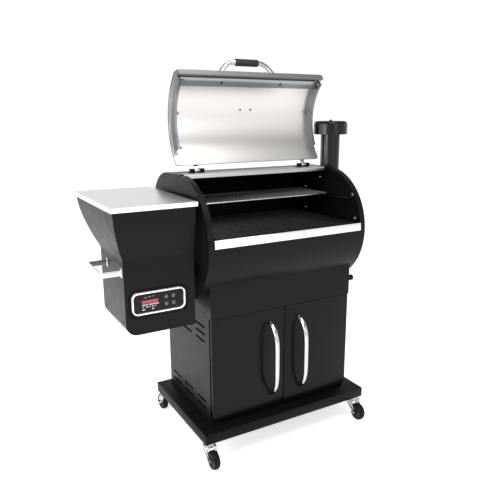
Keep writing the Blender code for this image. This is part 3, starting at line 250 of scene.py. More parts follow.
def settle(bm, name, finish, body, node=None, smooth=35):
    """Turns a bmesh into a piece of the grill, with its finish, its body and the node it replaces."""
    bmesh.ops.recalc_face_normals(bm, faces=bm.faces)
    if bm.calc_volume(signed=True) < 0:
        bmesh.ops.reverse_faces(bm, faces=bm.faces)
    mesh = bpy.data.meshes.new(name)
    bm.to_mesh(mesh)
    bm.free()
    obj = bpy.data.objects.new(name, mesh)
    bpy.context.scene.collection.objects.link(obj)
    mesh.materials.append(finish)
    mesh.shade_smooth()
    mesh.set_sharp_from_angle(angle=math.radians(smooth))
    if node:
        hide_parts(node)
    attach(obj, body)
    return obj


def round_edges(bm, width, angle):
    """Rounds every edge that is sharper than an angle."""
    limit = math.radians(angle)
    sharp = [e for e in bm.edges if len(e.link_faces) == 2 and e.calc_face_angle(0) > limit]
    bmesh.ops.bevel(bm, geom=sharp, offset=width, segments=2, affect="EDGES", profile=0.5,
                    clamp_overlap=True)


def add_box(bm, low, high):
    """Adds a box between two corners."""
    low, high = Vector(low), Vector(high)
    made = bmesh.ops.create_cube(bm, size=1)["verts"]
    bmesh.ops.scale(bm, vec=high - low, verts=made)
    bmesh.ops.translate(bm, vec=(low + high) / 2, verts=made)


def add_turned(bm, profile, at, axis, steps=32):
    """Adds a solid turned from (radius, height) pairs, from axis to axis or round a bore."""
    basis = Vector(axis).to_track_quat("Z", "Y").to_matrix()
    at = Vector(at)
    rings = []
    for r, h in profile:
        if r < 1e-6:
            rings.append([bm.verts.new(at + basis @ Vector((0, 0, h)))])
            continue
        rings.append([bm.verts.new(at + basis @ Vector((r * math.cos(a), r * math.sin(a), h)))
                      for a in (2 * math.pi * i / steps for i in range(steps))])
    pairs = list(zip(rings, rings[1:]))
    if profile[0][0] > 1e-6:
        pairs.append((rings[-1], rings[0]))
    for low, high in pairs:
        for i in range(steps):
            j = (i + 1) % steps
            corners = [low[i % len(low)], low[j % len(low)], high[j % len(high)], high[i % len(high)]]
            corners = list(dict.fromkeys(corners))
            if len(corners) > 2:
                bm.faces.new(corners)


def sweep_path(bm, points, radius, sides=16):
    """Adds a capped tube along points."""
    points = [Vector(p) for p in points]
    after, before = points[1:] + points[-1:], points[:1] + points[:-1]
    ahead = [(end - start).normalized() for start, end in zip(before, after)]
    normal = ahead[0].orthogonal().normalized()
    rows = []
    for i, (point, forward) in enumerate(zip(points, ahead)):
        if i:
            normal = (ahead[i - 1].rotation_difference(forward) @ normal).normalized()
        other = forward.cross(normal)
        ring = []
        for k in range(sides):
            a = 2 * math.pi * k / sides
            ring.append(bm.verts.new(point + radius * (math.cos(a) * normal + math.sin(a) * other)))
        rows.append(ring)
    for low, high in zip(rows, rows[1:]):
        for i in range(sides):
            j = (i + 1) % sides
            bm.faces.new((low[i], low[j], high[j], high[i]))
    bm.faces.new(rows[0])
    bm.faces.new(rows[-1])


def smooth_path(points, steps=8):
    """Points on a curve that passes smoothly through the given ones."""
    points = [Vector(p) for p in points]
    ends = [points[0] * 2 - points[1]] + points + [points[-1] * 2 - points[-2]]
    path = []
    for a, b, c, d in zip(ends, ends[1:], ends[2:], ends[3:]):
        for i in range(steps):
            t = i / steps
            path.append(0.5 * (2 * b + (c - a) * t + (2 * a - 5 * b + 4 * c - d) * t * t
                               + (3 * b - a - 3 * c + d) * t ** 3))
    return path + [points[-1]]


def add_bent(bm, path, first, last, thickness):
    """Adds sheet metal bent along (y, z) points and run along X, with its wall on both sides."""
    path = [Vector(p) for p in path]
    normals = []
    for i in range(len(path)):
        into = (path[i] - path[i - 1]).normalized() if i else (path[1] - path[0]).normalized()
        out = (path[i + 1] - path[i]).normalized() if i + 1 < len(path) else into
        middle = (into + out).normalized()
        stretch = 1 / max(0.35, middle.dot(into))
        normals.append(Vector((-middle.y, middle.x)) * stretch * thickness / 2)
    outline = [p + n for p, n in zip(path, normals)]
    outline += [p - n for p, n in zip(path[::-1], normals[::-1])]
    add_prism(bm, outline, first, last)


def add_prism(bm, outline, first, last, plane="YZ"):
    """Adds an outline as a solid between two levels across its plane."""
    orders = {"YZ": lambda a, b, c: (c, a, b), "XZ": lambda a, b, c: (a, c, b),
              "XY": lambda a, b, c: (a, b, c)}
    rows = [[bm.verts.new(orders[plane](a, b, level)) for a, b in outline] for level in (first, last)]
    count = len(outline)
    for i in range(count):
        j = (i + 1) % count
        bm.faces.new((rows[0][i], rows[0][j], rows[1][j], rows[1][i]))
    bm.faces.new(rows[0])
    bm.faces.new(rows[1])


def arc(centre, radius, first, last, count):
    """Points on an arc in a plane, angles in degrees."""
    turns = [math.radians(first + (last - first) * i / count) for i in range(count + 1)]
    return [(centre[0] + radius * math.cos(a), centre[1] + radius * math.sin(a)) for a in turns]


def rounded(centre, width, height, radius, count=6):
    """A rounded rectangle's outline."""
    x, y = width / 2 - radius, height / 2 - radius
    outline = []
    for dx, dy, start in ((x, y, 0), (-x, y, 90), (-x, -y, 180), (x, -y, 270)):
        outline += arc((centre[0] + dx, centre[1] + dy), radius, start, start + 90, count)
    return outline


SCREW = ((0, 0.0022), (0.0022, 0.0020), (0.0036, 0.0012), (0.0042, 0), (0, 0))


def add_screws(bm, places, axis, size=1.0):
    """Adds domed screw heads at each place, facing along an axis."""
    for place in places:
        add_turned(bm, [(r * size, h * size) for r, h in SCREW], place, axis, 14)


# %% [markdown]
# ## The measured panels
# Tray, cupboard, doors and barrel are already true to size. What they lack is the small
# radius that a press brake leaves on every fold. It catches the light along the edge, so
# each panel is copied and its flat faces are joined up again; where a radius is given, its edges are
# rounded.

# %% Panels with folded edges


def panel(node, name, finish, fold=0):
    """A copy of a measured part in its finish, with its folds rounded to a radius, if there is one."""
    bm = bmesh.new()
    bm.from_mesh(frame["nodes"][node].data)
    bmesh.ops.remove_doubles(bm, verts=bm.verts, dist=0.00002)
    bmesh.ops.dissolve_limit(bm, angle_limit=math.radians(0.4), verts=bm.verts, edges=bm.edges)
    if fold:
        round_edges(bm, fold, 40)
    return settle(bm, name, finish, body_of_node[node], node, 30)


panels = [
    panel("base_tray", "tray_pan", tray_coat, 0.0012),
    panel("cabinet_side_left", "cupboard_side_left", coat),
    panel("cabinet_side_right", "cupboard_side_right", coat),
    panel("cabinet_back", "cupboard_back", coat, 0.0004),
    panel("cabinet_floor", "cupboard_floor", coat),
    panel("fascia", "fascia_box", coat),
    panel("barrel_shell", "barrel_skin", coat),
    panel("barrel_end_left", "barrel_end_plate_left", coat),
    panel("barrel_end_right", "barrel_end_plate_right", coat),
    panel("door_left", "cupboard_door_left", door_coat),
    panel("door_right", "cupboard_door_right", door_coat),
    panel("front_strip", "opening_strip", strip_steel, 0.0006),
    panel("chimney_pipe", "flue_pipe", chimney_coat),
    panel("chimney_cap", "flue_cap", chimney_coat),
    panel("hopper_base", "hopper_housing", coat),
    panel("hopper_bin", "hopper_funnel", zinc_steel),
    panel("hopper_lid", "hopper_cover_pan", shelf_steel_painted_highlight),
    panel("hopper_hinge_pin", "hopper_pin", pressed_steel),
    panel("hopper_handle", "hopper_strap", pressed_steel, 0.0006),
    panel("drip_tray", "drip_pan", enamel),
    panel("flame_deflector", "deflector_plate", enamel),
    panel("fire_pot", "burner_pot", enamel),
    panel("auger_tube", "feed_tube", zinc_steel),
    panel("auger_screw", "feed_screw_steel", zinc_steel),
    panel("auger_motor", "gear_motor", zinc_steel, 0.0015),
    panel("blower_housing", "blower_case", zinc_steel),
    panel("blower_rotor", "blower_wheel", zinc_steel),
    panel("drain_spout", "grease_spout", door_coat),
    panel("power_inlet", "mains_socket", socket_plastic, 0.0006),
    panel("lid_handle", "lid_handle_tube", chrome),
    panel("lid_grip", "lid_rubber_grip", rubber, 0.0012),
    panel("control_screen", "panel_window", acrylic),
]
for side_name in ("left", "right"):
    panels.append(panel("hinge_base_" + side_name, "lid_hinge_base_" + side_name, door_coat, 0.0004))
    panels.append(panel("hinge_leaf_" + side_name, "lid_hinge_leaf_" + side_name, pressed_steel, 0.0004))
for i in range(1, 5):
    panels.append(panel("button_%d" % i, "panel_key_%d" % i, acrylic))
print("panels:", len(panels))

# %% [markdown]
# ## The lid
# The lid is one brushed sheet rolled to the barrel's curve, with rounded corners. A rib
# along each side and a folded front edge keep it stiff, and a strip inside takes the
# handle's bolts. It is drawn shut, where its curve is a plain arc, and each point is then
# swung open about the hinge pin. A narrow hem stiffens the sheet's edge all round.

# %% The lid's curve
LID_IN, LID_OUT = 0.2632, 0.2648
LID_HALF = 0.364
LID_FRONT, LID_BACK = 8.5, 100.0
FRONT_CORNER, BACK_CORNER = 0.024, 0.014


def lid_point(x, radius, angle):
    """A point of the open lid, from its place on the shut one: the angle runs from the front up."""
    a = math.radians(180 - angle)
    y = BARREL_Y + radius * math.cos(a) - HINGE.y
    z = BARREL_Z + radius * math.sin(a) - HINGE.z
    c, s = math.cos(-LID_OPEN), math.sin(-LID_OPEN)
    return Vector((MID + x, HINGE.y + y * c - z * s, HINGE.z + y * s + z * c))


def lid_half_width(s, length):
    """Half the lid's width at a length s round it, which narrows round the corners."""
    for distance, r in ((s, FRONT_CORNER), (length - s, BACK_CORNER)):
        if distance < r:
            return LID_HALF - r + math.sqrt(max(0, r * r - (r - distance) ** 2))
    return LID_HALF


# %% The lid's skin
length = LID_IN * math.radians(LID_BACK - LID_FRONT)
near = [0.0, 0.0008, 0.0025, 0.005, 0.009, 0.014, 0.019, FRONT_CORNER]
far = [length - d for d in (BACK_CORNER, 0.010, 0.0065, 0.0035, 0.0015, 0.0005, 0.0)]
straight = length - FRONT_CORNER - BACK_CORNER
stops = near + [FRONT_CORNER + straight * i / 44 for i in range(1, 44)] + far
bm = bmesh.new()
grid = []
for radius in (LID_IN, LID_OUT):
    rows = []
    for s in stops:
        half = lid_half_width(s, length)
        angle = LID_FRONT + math.degrees(s / LID_IN)
        across = [half * t for t in (-1, -0.95, -0.5, 0, 0.5, 0.95, 1)]
        rows.append([bm.verts.new(lid_point(x, radius, angle)) for x in across])
    for low, high in zip(rows, rows[1:]):
        for i in range(len(low) - 1):
            bm.faces.new((low[i], low[i + 1], high[i + 1], high[i]))
    grid.append(rows)
rim_in, rim_out = [rows[0] + [r[-1] for r in rows[1:-1]] + rows[-1][::-1] + [r[0] for r in rows[-2:0:-1]]
                   for rows in grid]
for i in range(len(rim_in)):
    j = (i + 1) % len(rim_in)
    bm.faces.new((rim_in[i], rim_in[j], rim_out[j], rim_out[i]))
lid_skin = settle(bm, "lid_skin", lid_steel, "lid", "lid_shell")
print("lid skin:", len(lid_skin.data.polygons), "faces")

# %% The hem
bm = bmesh.new()
HEM_LOW, HEM_HIGH = 0.2628, 0.2660
HEM_WIDTH, HEM_OUT = 0.0034, 0.0006
hem = [(HEM_LOW, 0.0), (HEM_HIGH, 0.0), (HEM_HIGH, HEM_WIDTH), (HEM_LOW, HEM_WIDTH)]
rings = []
for sign, along in ((-1, stops), (1, stops[::-1])):
    for s in along:
        edge = lid_half_width(s, length) + HEM_OUT
        angle = LID_FRONT + math.degrees(s / LID_IN)
        rings.append([bm.verts.new(lid_point(sign * (edge - inset), r, angle)) for r, inset in hem])
for low, high in zip(rings, rings[1:] + rings[:1]):
    for i in range(4):
        j = (i + 1) % 4
        bm.faces.new((low[i], low[j], high[j], high[i]))
lid_hem = settle(bm, "lid_hem", rim_steel_painted_shade, "lid")
print("hem:", len(rings), "rings")

# %% The lid's ribs, folded edge and strip


def lid_wall(bm, x, half_wall, low_r, high_r, first, last, count):
    """Adds a radial wall of sheet along the lid at one x."""
    section = ((-half_wall, low_r), (half_wall, low_r), (half_wall, high_r), (-half_wall, high_r))
    rows = []
    for i in range(count + 1):
        angle = first + (last - first) * i / count
        rows.append([bm.verts.new(lid_point(x + dx, r, angle)) for dx, r in section])
    join_rows(bm, rows)


def join_rows(bm, rows):
    """Skins equal rings of points and caps both ends."""
    for low, high in zip(rows, rows[1:]):
        for i in range(len(low)):
            j = (i + 1) % len(low)
            bm.faces.new((low[i], low[j], high[j], high[i]))
    bm.faces.new(rows[0])
    bm.faces.new(rows[-1])


RIB_FRONT, RIB_BACK = 14.5, 86.5
bm = bmesh.new()
for sign in (-1, 1):
    lid_wall(bm, sign * 0.348, 0.0008, 0.229, LID_IN + 0.0004, RIB_FRONT, RIB_BACK, 36)
    lid_wall(bm, sign * 0.3435, 0.0045, 0.2295, 0.2311, RIB_FRONT, RIB_BACK, 36)
    for angle in (15.5, 50.0, 84.5):
        lid_wall(bm, sign * 0.338, 0.010, 0.236, 0.2375, angle - 1.6, angle + 1.6, 2)
        axis = lid_point(0, 0.1, angle) - lid_point(0, 0.2, angle)
        add_turned(bm, [(0, 0.005), (0.0035, 0.0042), (0.0055, 0.001), (0.0055, 0), (0, 0)],
                   lid_point(sign * 0.336, 0.236, angle), axis, 14)
lid_ribs = settle(bm, "lid_side_ribs", rim_steel_painted_shade, "lid")

bm = bmesh.new()
fold = ((0.2634, 8.55), (0.2600, 8.60), (0.2440, 8.65), (0.2425, 8.9), (0.2425, 11.0),
        (0.2437, 11.0), (0.2437, 9.15), (0.2450, 9.0), (0.2595, 8.97), (0.2634, 9.3))
join_rows(bm, [[bm.verts.new(lid_point(x, r, a)) for r, a in fold] for x in (-0.3515, 0.3515)])
lid_fold = settle(bm, "lid_front_fold", rim_steel_painted_shade, "lid", smooth=25)

bm = bmesh.new()
strip = ((0.2545, 15.3), (0.2575, 15.5), (0.2555, 20.0), (0.2575, 24.5), (0.2560, 24.6), (0.2540, 20.0),
         (0.2530, 15.6))
join_rows(bm, [[bm.verts.new(lid_point(x, r, a)) for r, a in strip] for x in (-0.341, 0.341)])
lid_strip = settle(bm, "lid_handle_strip", lip_steel_painted_shade, "lid", "lid_lip", smooth=50)

bm = bmesh.new()
for x, angle, radius, size in ((-0.145, 20, 0.2536, 1.3), (0.145, 20, 0.2536, 1.3),
                               (-0.026, 47.5, 0.2630, 0.95), (0.026, 47.5, 0.2630, 0.95)):
    axis = lid_point(0, 0.1, angle) - lid_point(0, 0.2, angle)
    add_turned(bm, [(0, 0.0030), (0.0022 * size, 0.0030), (0.0022 * size, 0.0012), (0.0048 * size, 0.0008),
                    (0.0050 * size, 0), (0, 0)], lid_point(x, radius, angle), axis, 14)
lid_bolts = settle(bm, "lid_bolts", socket_plastic, "lid")
print("lid:", lid_ribs.name, lid_fold.name, lid_strip.name, lid_bolts.name)

# %% [markdown]
# ## The ledge and the hopper's sides
# Over the opening the barrel's skin is folded down, and a bright steel trim covers the
# fold. The hopper's sides are one sheet that bows out to the top, and runs down over the
# housing's edge, so that no gap shows at the crease.

# %% Ledge trim
TRIM_HALF, TRIM_THICKNESS = 0.3545, 0.0004
bm = bmesh.new()
trim_top = BARREL_TOP + 0.0006
trim = [(-0.0002, trim_top - 0.0185), (-0.0002, trim_top - 0.0015), (0.0002, trim_top - 0.0004),
        (0.0012, trim_top), (0.0440, trim_top)]
add_bent(bm, trim, MID - TRIM_HALF, MID + TRIM_HALF, thickness=TRIM_THICKNESS)
settle(bm, "ledge_trim", ledge_steel, "frame")

# %% Hopper sides
WALL = 0.0016
rim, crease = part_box("hopper_lid")[1][2] - 0.006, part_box("hopper_base")[1][2] + 0.002
HOPPER = {"left": MID - 0.722, "right": MID - 0.407, "front": -0.222, "back": 0.290}
BASE = {"left": MID - 0.688, "right": MID - 0.410, "front": -0.200, "back": 0.085}


def hopper_ring(t, out=0.0):
    """The hopper's outline at a depth t, from 0 at the top to 1 at the crease."""
    ease = t ** 1.8
    at = {key: HOPPER[key] + (BASE[key] - HOPPER[key]) * ease for key in HOPPER}
    return [(at["left"] - out, at["front"] - out), (at["right"] + out, at["front"] - out),
            (at["right"] + out, at["back"] + out), (at["left"] - out, at["back"] + out)]


bm = bmesh.new()
levels = [(hopper_ring(i / 24), rim + (crease - rim) * i / 24) for i in range(25)]
levels += [(hopper_ring(1, 0.0004), crease - 0.0035), (hopper_ring(1, -0.0010), crease - 0.0035)]
levels += [(hopper_ring(i / 12, -WALL), rim + (crease - rim) * i / 12) for i in range(12, -1, -1)]
rows = [[bm.verts.new((x, y, z)) for x, y in ring] for ring, z in levels]
for low, high in zip(rows, rows[1:] + rows[:1]):
    for i in range(4):
        j = (i + 1) % 4
        bm.faces.new((low[i], low[j], high[j], high[i]))
for lug_x in (MID - 0.6895, MID - 0.4395):
    add_box(bm, (lug_x - 0.004, 0.2890, 1.069), (lug_x + 0.004, 0.3085, 1.0945))
settle(bm, "hopper_sides", coat, "frame", "hopper_shell", smooth=40)
print("hopper sides: crease at", round(crease, 4))

# %% [markdown]
# ## Door pulls
# Each pull is one bent chrome tube. Its legs lean in from the ends and run into the
# straight part in one soft curve, so the path is a smooth curve through few points.

# %% Door pulls
PULL_FROM_MIDDLE, PULL_RADIUS, PULL_DEPTH = 0.074, 0.0103, 0.060
DOOR_FACE = -0.2158
for side_name, sign in (("left", -1), ("right", 1)):
    handle = "door_handle_" + side_name
    low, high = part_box(handle)
    x = MID + sign * PULL_FROM_MIDDLE
    middle = (low[2] + high[2]) / 2
    half = [(0.1610, 0.0), (0.1605, 0.004), (0.1530, 0.020), (0.1330, 0.040), (0.1020, 0.0545),
            (0.0600, 0.0595)]
    line = [(x, DOOR_FACE - d, middle - up) for up, d in half] + [(x, DOOR_FACE - PULL_DEPTH, middle)]
    line += [(x, DOOR_FACE - d, middle + up) for up, d in reversed(half)]
    bm = bmesh.new()
    sweep_path(bm, smooth_path(line, 5), PULL_RADIUS, 20)
    settle(bm, "door_pull_" + side_name, chrome, body_of_node[handle], handle)
print("two door pulls")

# %% [markdown]
# ## Grates
# The two cooking grates are enamelled bars that run the barrel's length, on cross bars.
# Where the grates meet, a row of small tabs stands up to locate them. The warming rack is
# welded wire: thin wires run front to back over a bright frame.

# %% Grates
EDGE = 0.003


def even_places(first, last, pitch):
    """Even places between two limits, about a pitch apart, with both limits included."""
    count = max(1, round((last - first) / pitch))
    return [first + (last - first) * i / count for i in range(count + 1)]


def add_bars(bm, low, high, z, along, pitch, radius, sides=6):
    """Adds parallel straight bars that fill a rectangle, along X or Y."""
    (x0, y0), (x1, y1) = low, high
    if along == "X":
        for y in even_places(y0, y1, pitch):
            sweep_path(bm, [(x0, y, z), (x1, y, z)], radius, sides)
    else:
        for x in even_places(x0, x1, pitch):
            sweep_path(bm, [(x, y0, z), (x, y1, z)], radius, sides)


for node, name, tabbed in (("main_grate_front", "cooking_grate_front", True),
                           ("main_grate_rear", "cooking_grate_rear", False)):
    low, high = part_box(node)
    bm = bmesh.new()
    corner_low, corner_high = (low[0] + EDGE, low[1] + EDGE), (high[0] - EDGE, high[1] - EDGE)
    add_bars(bm, corner_low, corner_high, high[2] - 0.0022, "X", 0.0210, 0.0023)
    add_bars(bm, corner_low, corner_high, high[2] - 0.0060, "Y", 0.0840, 0.0026)
    if tabbed:
        for x in even_places(corner_low[0], corner_high[0], 0.0200):
            add_box(bm, (x - 0.0050, high[1] - 0.0045, high[2] - 0.002),
                    (x + 0.0050, high[1] - 0.0025, high[2] + 0.005))
    settle(bm, name, enamel, "frame", node)

low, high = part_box("upper_rack")
corner_low, corner_high = (low[0] + EDGE, low[1] + EDGE), (high[0] - EDGE, high[1] - EDGE)
bm = bmesh.new()
add_bars(bm, corner_low, corner_high, high[2] - 0.0004, "Y", 0.0190, 0.0024)
add_bars(bm, (corner_low[0], corner_low[1] + 0.05), (corner_high[0], corner_high[1] - 0.05),
         high[2] - 0.0040, "X", 0.0640, 0.0024)
settle(bm, "warming_rack_wires", rack_enamel, "frame", "upper_rack")
bm = bmesh.new()
width, depth = corner_high[0] - corner_low[0], corner_high[1] - corner_low[1]
add_bars(bm, corner_low, corner_high, high[2] - 0.0040, "X", depth, 0.0032, 10)
add_bars(bm, corner_low, corner_high, high[2] - 0.0040, "Y", width, 0.0032, 10)
settle(bm, "warming_rack_frame", pressed_steel, "frame")
print("grates done")

# %% [markdown]
# ## Casters
# Each caster is a pressed, plated fork under a ball race, with a rubber tyre on a nylon
# hub between its cheeks. Wheel and fork move apart, so they are separate pieces.

# %% Casters
CASTER_TRAIL = 0.036
for side_name in ("left", "right"):
    for end_name in ("front", "rear"):
        spot = end_name + "_" + side_name
        fork_high = Vector(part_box("caster_fork_" + spot)[1])
        wheel_low, wheel_high = (Vector(c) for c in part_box("caster_wheel_" + spot))
        hub = (wheel_low + wheel_high) / 2
        radius = (wheel_high.z - wheel_low.z) / 2
        sign = 1 if end_name == "rear" else -1
        swivel_y = hub.y - sign * CASTER_TRAIL
        bm = bmesh.new()
        web = fork_high.z - 0.0195
        for cheek in (-1, 1):
            outside, inside = hub.x + cheek * 0.0232, hub.x + cheek * 0.0205
            outline = arc((hub.y, hub.z), 0.0120, 90 + sign * 150, 90 - sign * 110, 12)
            outline += [(swivel_y + sign * 0.021, web - 0.012), (swivel_y + sign * 0.021, web + 0.001),
                        (swivel_y - sign * 0.021, web + 0.001), (swivel_y - sign * 0.022, web - 0.014)]
            add_prism(bm, outline, outside, inside)
            add_turned(bm, [(0, 0.0040), (0.0045, 0.0036), (0.0062, 0.0020), (0.0062, 0), (0, 0)],
                       (outside, hub.y, hub.z), (cheek, 0, 0), 6)
        plate = rounded((hub.x, swivel_y), 0.0464, 0.043, 0.012)
        add_prism(bm, plate, web, web + 0.0025, "XY")
        add_turned(bm, [(0, 0.0195), (0.0185, 0.0195), (0.0205, 0.0175), (0.0205, 0.0125), (0.0185, 0.0105),
                        (0.0225, 0.0085), (0.0230, 0.0050), (0.0215, 0.0020), (0, 0.0020)],
                   (hub.x, swivel_y, web), (0, 0, 1), 32)
        sweep_path(bm, [hub + Vector((-0.021, 0, 0)), hub + Vector((0.021, 0, 0))], 0.0036, 12)
        fork = "caster_fork_" + spot
        settle(bm, "caster_fork_plated_" + spot, chrome, body_of_node[fork], fork)
        wheel_body = body_of_node["caster_wheel_" + spot]
        half = (wheel_high.x - wheel_low.x) / 2
        bm = bmesh.new()
        tread = [(0.0265, half - 0.0035), (0.0290, half - 0.0010), (0.0330, half), (0.0362, half - 0.0018),
                 (0.0382, half - 0.0055), (radius, half - 0.0095)]
        add_turned(bm, tread + [(r, -h) for r, h in reversed(tread)], hub, (1, 0, 0), 48)
        settle(bm, "caster_tyre_" + spot, tyre_rubber, wheel_body, "caster_wheel_" + spot)
        bm = bmesh.new()
        face = [(0.0045, half), (0.0100, half), (0.0115, half - 0.0030), (0.0125, half - 0.0060),
                (0.0215, half - 0.0060), (0.0230, half - 0.0025), (0.0268, half - 0.0022)]
        add_turned(bm, face + [(r, -h) for r, h in reversed(face)], hub, (1, 0, 0), 40)
        for i in range(6):
            a = 2 * math.pi * i / 6
            spoke = Vector((0, math.cos(a), math.sin(a)))
            sweep_path(bm, [hub + spoke * 0.0105, hub + spoke * 0.0235], 0.0016, 6)
        settle(bm, "caster_hub_" + spot, nylon, wheel_body)
print("four casters")

# %% [markdown]
# ## The control panel
# The window sits in a white ring, in a shallow dish pressed into the housing. The display
# shows a red readout bar over rows of small white marks. They are generic bars, because
# the real lettering isn't copied. Each of the four keys carries a small printed mark.

# %% The dish and the ring
PANEL_X, PANEL_Z = MID - 0.556, 0.729
FACE = -0.200


def add_frame(bm, outer, inner, first, last):
    """Adds an upright outline with a hole, as a solid. Both outlines have as many points."""
    rings = [[bm.verts.new((x, level, z)) for x, z in ring]
             for ring, level in ((outer, first), (inner, first), (inner, last), (outer, last))]
    for low, high in zip(rings, rings[1:] + rings[:1]):
        for i in range(len(low)):
            j = (i + 1) % len(low)
            bm.faces.new((low[i], low[j], high[j], high[i]))


def add_dish(bm, shapes):
    """Adds a pressed dish through (outline, level) pairs on the front, 1.5 mm thick."""
    rows = [[bm.verts.new((a, level, b)) for a, b in ring] for ring, level in shapes]
    back = [[bm.verts.new((a, level + 0.0015, b)) for a, b in ring] for ring, level in shapes]
    for side_rows in (rows, back):
        for low, high in zip(side_rows, side_rows[1:]):
            for i in range(len(low)):
                j = (i + 1) % len(low)
                bm.faces.new((low[i], low[j], high[j], high[i]))
        bm.faces.new(side_rows[-1])
    for i in range(len(rows[0])):
        j = (i + 1) % len(rows[0])
        bm.faces.new((rows[0][i], rows[0][j], back[0][j], back[0][i]))


centre = (PANEL_X, PANEL_Z)
bm = bmesh.new()
add_dish(bm, [(rounded(centre, 0.2450, 0.1200, 0.0390, 8), FACE + 0.0004),
              (rounded(centre, 0.2400, 0.1150, 0.0365, 8), FACE + 0.0030),
              (rounded(centre, 0.2290, 0.1020, 0.0310, 8), FACE + 0.0098),
              (rounded(centre, 0.2120, 0.0850, 0.0230, 8), FACE + 0.0102)])
settle(bm, "panel_dish", coat, "frame", "control_bezel", smooth=50)
bm = bmesh.new()
add_frame(bm, rounded(centre, 0.2100, 0.0850, 0.0220, 8), rounded(centre, 0.2010, 0.0760, 0.0175, 8),
          FACE - 0.0030, FACE + 0.0100)
round_edges(bm, 0.0014, 50)
settle(bm, "panel_ring", ring_plastic, "frame")

# %% The display and the printed marks
SCREEN = FACE + 0.0029


def add_mark(bm, x, z, width, height):
    """Adds a thin raised bar on the window."""
    add_box(bm, (PANEL_X + x - width / 2, SCREEN - 0.0004, PANEL_Z + z - height / 2),
            (PANEL_X + x + width / 2, SCREEN + 0.0004, PANEL_Z + z + height / 2))


bm = bmesh.new()
add_mark(bm, -0.0350, 0.0050, 0.0640, 0.0120)
settle(bm, "display_readout", red_light, "frame")
bm = bmesh.new()
for z, height, widths in ((-0.0065, 0.0050, (0.012, 0.008, 0.014, 0.010, 0.009)),
                          (-0.0150, 0.0034, (0.005, 0.010, 0.006, 0.008, 0.005)),
                          (-0.0245, 0.0050, (0.010, 0.0, 0.0, 0.008, 0.0))):
    x = -0.066
    for width in widths:
        if width:
            add_mark(bm, x + width / 2, z, width, height)
        x += max(width, 0.010) + 0.0025
settle(bm, "display_marks", white_light, "frame")
bm = bmesh.new()
for x, z, width in ((-0.052, 0.0215, 0.012), (-0.036, 0.0235, 0.010), (-0.021, 0.0240, 0.007)):
    add_mark(bm, x, z, width, 0.0028)
settle(bm, "panel_mark", teal_light, "frame")
for i in range(1, 5):
    key = "button_%d" % i
    low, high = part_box(key)
    x, z = (low[0] + high[0]) / 2, (low[2] + high[2]) / 2
    front, back = low[1] - 0.0003, low[1] + 0.0004
    bm = bmesh.new()
    add_frame(bm, arc((x, z), 0.0066, 0, 345, 23), arc((x, z), 0.0052, 0, 345, 23), front, back)
    add_prism(bm, [(x - 0.0026, z - 0.0020), (x + 0.0026, z - 0.0020), (x, z + 0.0028)], front, back, "XZ")
    settle(bm, "key_print_%d" % i, icon_print, body_of_node[key])
print("control panel done")

# %% [markdown]
# ## Fixings
# Small domed screws hold the side panels, the hopper housing and the barrel's ends. They
# are tiny, but without them large plain panels look like a toy's.

# %% Screws
bm = bmesh.new()
housing_x = MID - 0.688
add_screws(bm, [(housing_x, 0.070, 0.658), (housing_x, -0.170, 0.658), (housing_x, 0.070, 0.880),
                (housing_x, -0.170, 0.880)], (-1, 0, 0))
for sign in (-1, 1):
    x = MID + sign * 0.350
    add_screws(bm, [(x, -0.152, 0.628), (x, 0.200, 0.628), (x, -0.180, 0.164), (x, 0.215, 0.164)],
               (sign, 0, 0))
    end = MID + sign * 0.380
    add_screws(bm, [(end, -0.150, 1.050), (end, 0.200, 1.060), (end, 0.200, 0.760), (end, -0.120, 0.760)],
               (sign, 0, 0), 1.1)
settle(bm, "panel_screws", coat, "frame")
BOLT = ((0, 0.0080), (0.0052, 0.0080), (0.0060, 0.0068), (0.0060, 0.0020), (0.0090, 0.0018),
        (0.0090, 0), (0, 0))
bm = bmesh.new()
for y, z in ((-0.205, 0.958), (0.170, 0.958), (-0.180, 1.062), (0.175, 1.062), (0.060, 1.120)):
    for sign in (1, -1):
        add_turned(bm, BOLT, (MID + sign * 0.3775, y, z), (-sign, 0, 0), 12)
settle(bm, "chamber_bolts", pressed_steel, "frame")
print("fixings done")

# %% [markdown]
# ## The studio
# The grill stands on a plain white floor with a white surround. Most light comes from a
# large soft source above and to the left, with a weaker one in front, so that the left
# faces of the black parts are lighter than the front ones.

# %% Floor and surround
bm = bmesh.new()
bmesh.ops.create_grid(bm, x_segments=1, y_segments=1, size=30)
floor_mesh = bpy.data.meshes.new("studio_floor")
bm.to_mesh(floor_mesh)
bm.free()
floor = bpy.data.objects.new("studio_floor", floor_mesh)
bpy.context.scene.collection.objects.link(floor)
floor_paint, floor_tree, floor_shader, floor_at = new_material("white_floor", "f4f4f4", 0.9)
vary_roughness(floor_tree, floor_shader, noise(floor_tree, floor_at, 400.0), 0.85, 0.95)
floor_shader.inputs["Emission Color"].default_value = (1, 1, 1, 1)
floor_shader.inputs["Emission Strength"].default_value = 0.62
floor_mesh.materials.append(floor_paint)

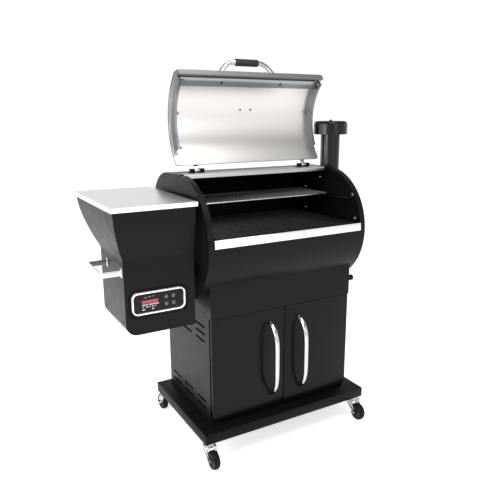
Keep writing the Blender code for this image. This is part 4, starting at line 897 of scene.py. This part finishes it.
world = bpy.data.worlds.new("studio_surround")
bpy.context.scene.world = world
world.use_nodes = True
background = world.node_tree.nodes["Background"]
direction = add_node(world.node_tree, "ShaderNodeTexCoord").outputs["Generated"]
height = add_node(world.node_tree, "ShaderNodeSeparateXYZ", links={"Vector": direction}).outputs["Z"]
sky = add_node(world.node_tree, "ShaderNodeValToRGB", links={"Fac": height})
ramp = sky.color_ramp
ramp.elements[0].position, ramp.elements[0].color = 0.0, (1.02, 1.02, 1.02, 1)
ramp.elements[1].position, ramp.elements[1].color = 0.22, (0.95, 0.94, 0.94, 1)
for position, value in ((0.42, 0.36), (0.62, 0.34), (0.85, 0.62)):
    ramp.elements.new(position).color = (value, value, value, 1)
seen = add_node(world.node_tree, "ShaderNodeLightPath").outputs["Is Camera Ray"]
plain = add_node(world.node_tree, "ShaderNodeMix", {"data_type": "RGBA"})
world.node_tree.links.new(seen, plain.inputs["Factor"])
world.node_tree.links.new(sky.outputs["Color"], plain.inputs[6])
plain.inputs[7].default_value = (1.05, 1.05, 1.05, 1)
world.node_tree.links.new(plain.outputs[2], background.inputs["Color"])
background.inputs["Strength"].default_value = 1.0

# %% Lamps


def lamp(name, place, target, size, power):
    """A square soft box that faces a target."""
    data = bpy.data.lights.new(name, "AREA")
    data.shape = "SQUARE"
    data.size = size
    data.energy = power
    obj = bpy.data.objects.new(name, data)
    obj.location = place
    obj.rotation_euler = (Vector(target) - Vector(place)).to_track_quat("-Z", "Y").to_euler()
    bpy.context.scene.collection.objects.link(obj)
    return obj


lamp("left_box", (-3.6, -0.6, 2.0), (0, 0, 0.8), 2.4, 120)
lamp("top_box", (0.2, -1.6, 4.2), (0.1, 0, 1.0), 2.6, 60)
lamp("front_box", (0.6, -4.2, 2.2), (0.1, 0, 0.9), 2.0, 25)
bpy.context.scene.view_settings.view_transform = "Standard"

# %% Camera
camera_data = bpy.data.cameras.new("camera")
camera_data.lens = 39.86
camera_data.sensor_width = 36
camera = bpy.data.objects.new("camera", camera_data)
bpy.context.scene.collection.objects.link(camera)
camera.location = (MID - 1.2489, -2.0828, TRAY_TOP + 1.2606)
aim = Matrix.Rotation(math.radians(-30.01), 4, "Z") @ Matrix.Rotation(math.radians(90 - 13.76), 4, "X")
camera.rotation_euler = (aim @ Matrix.Rotation(math.radians(-0.12), 4, "Z")).to_euler()
bpy.context.scene.camera = camera
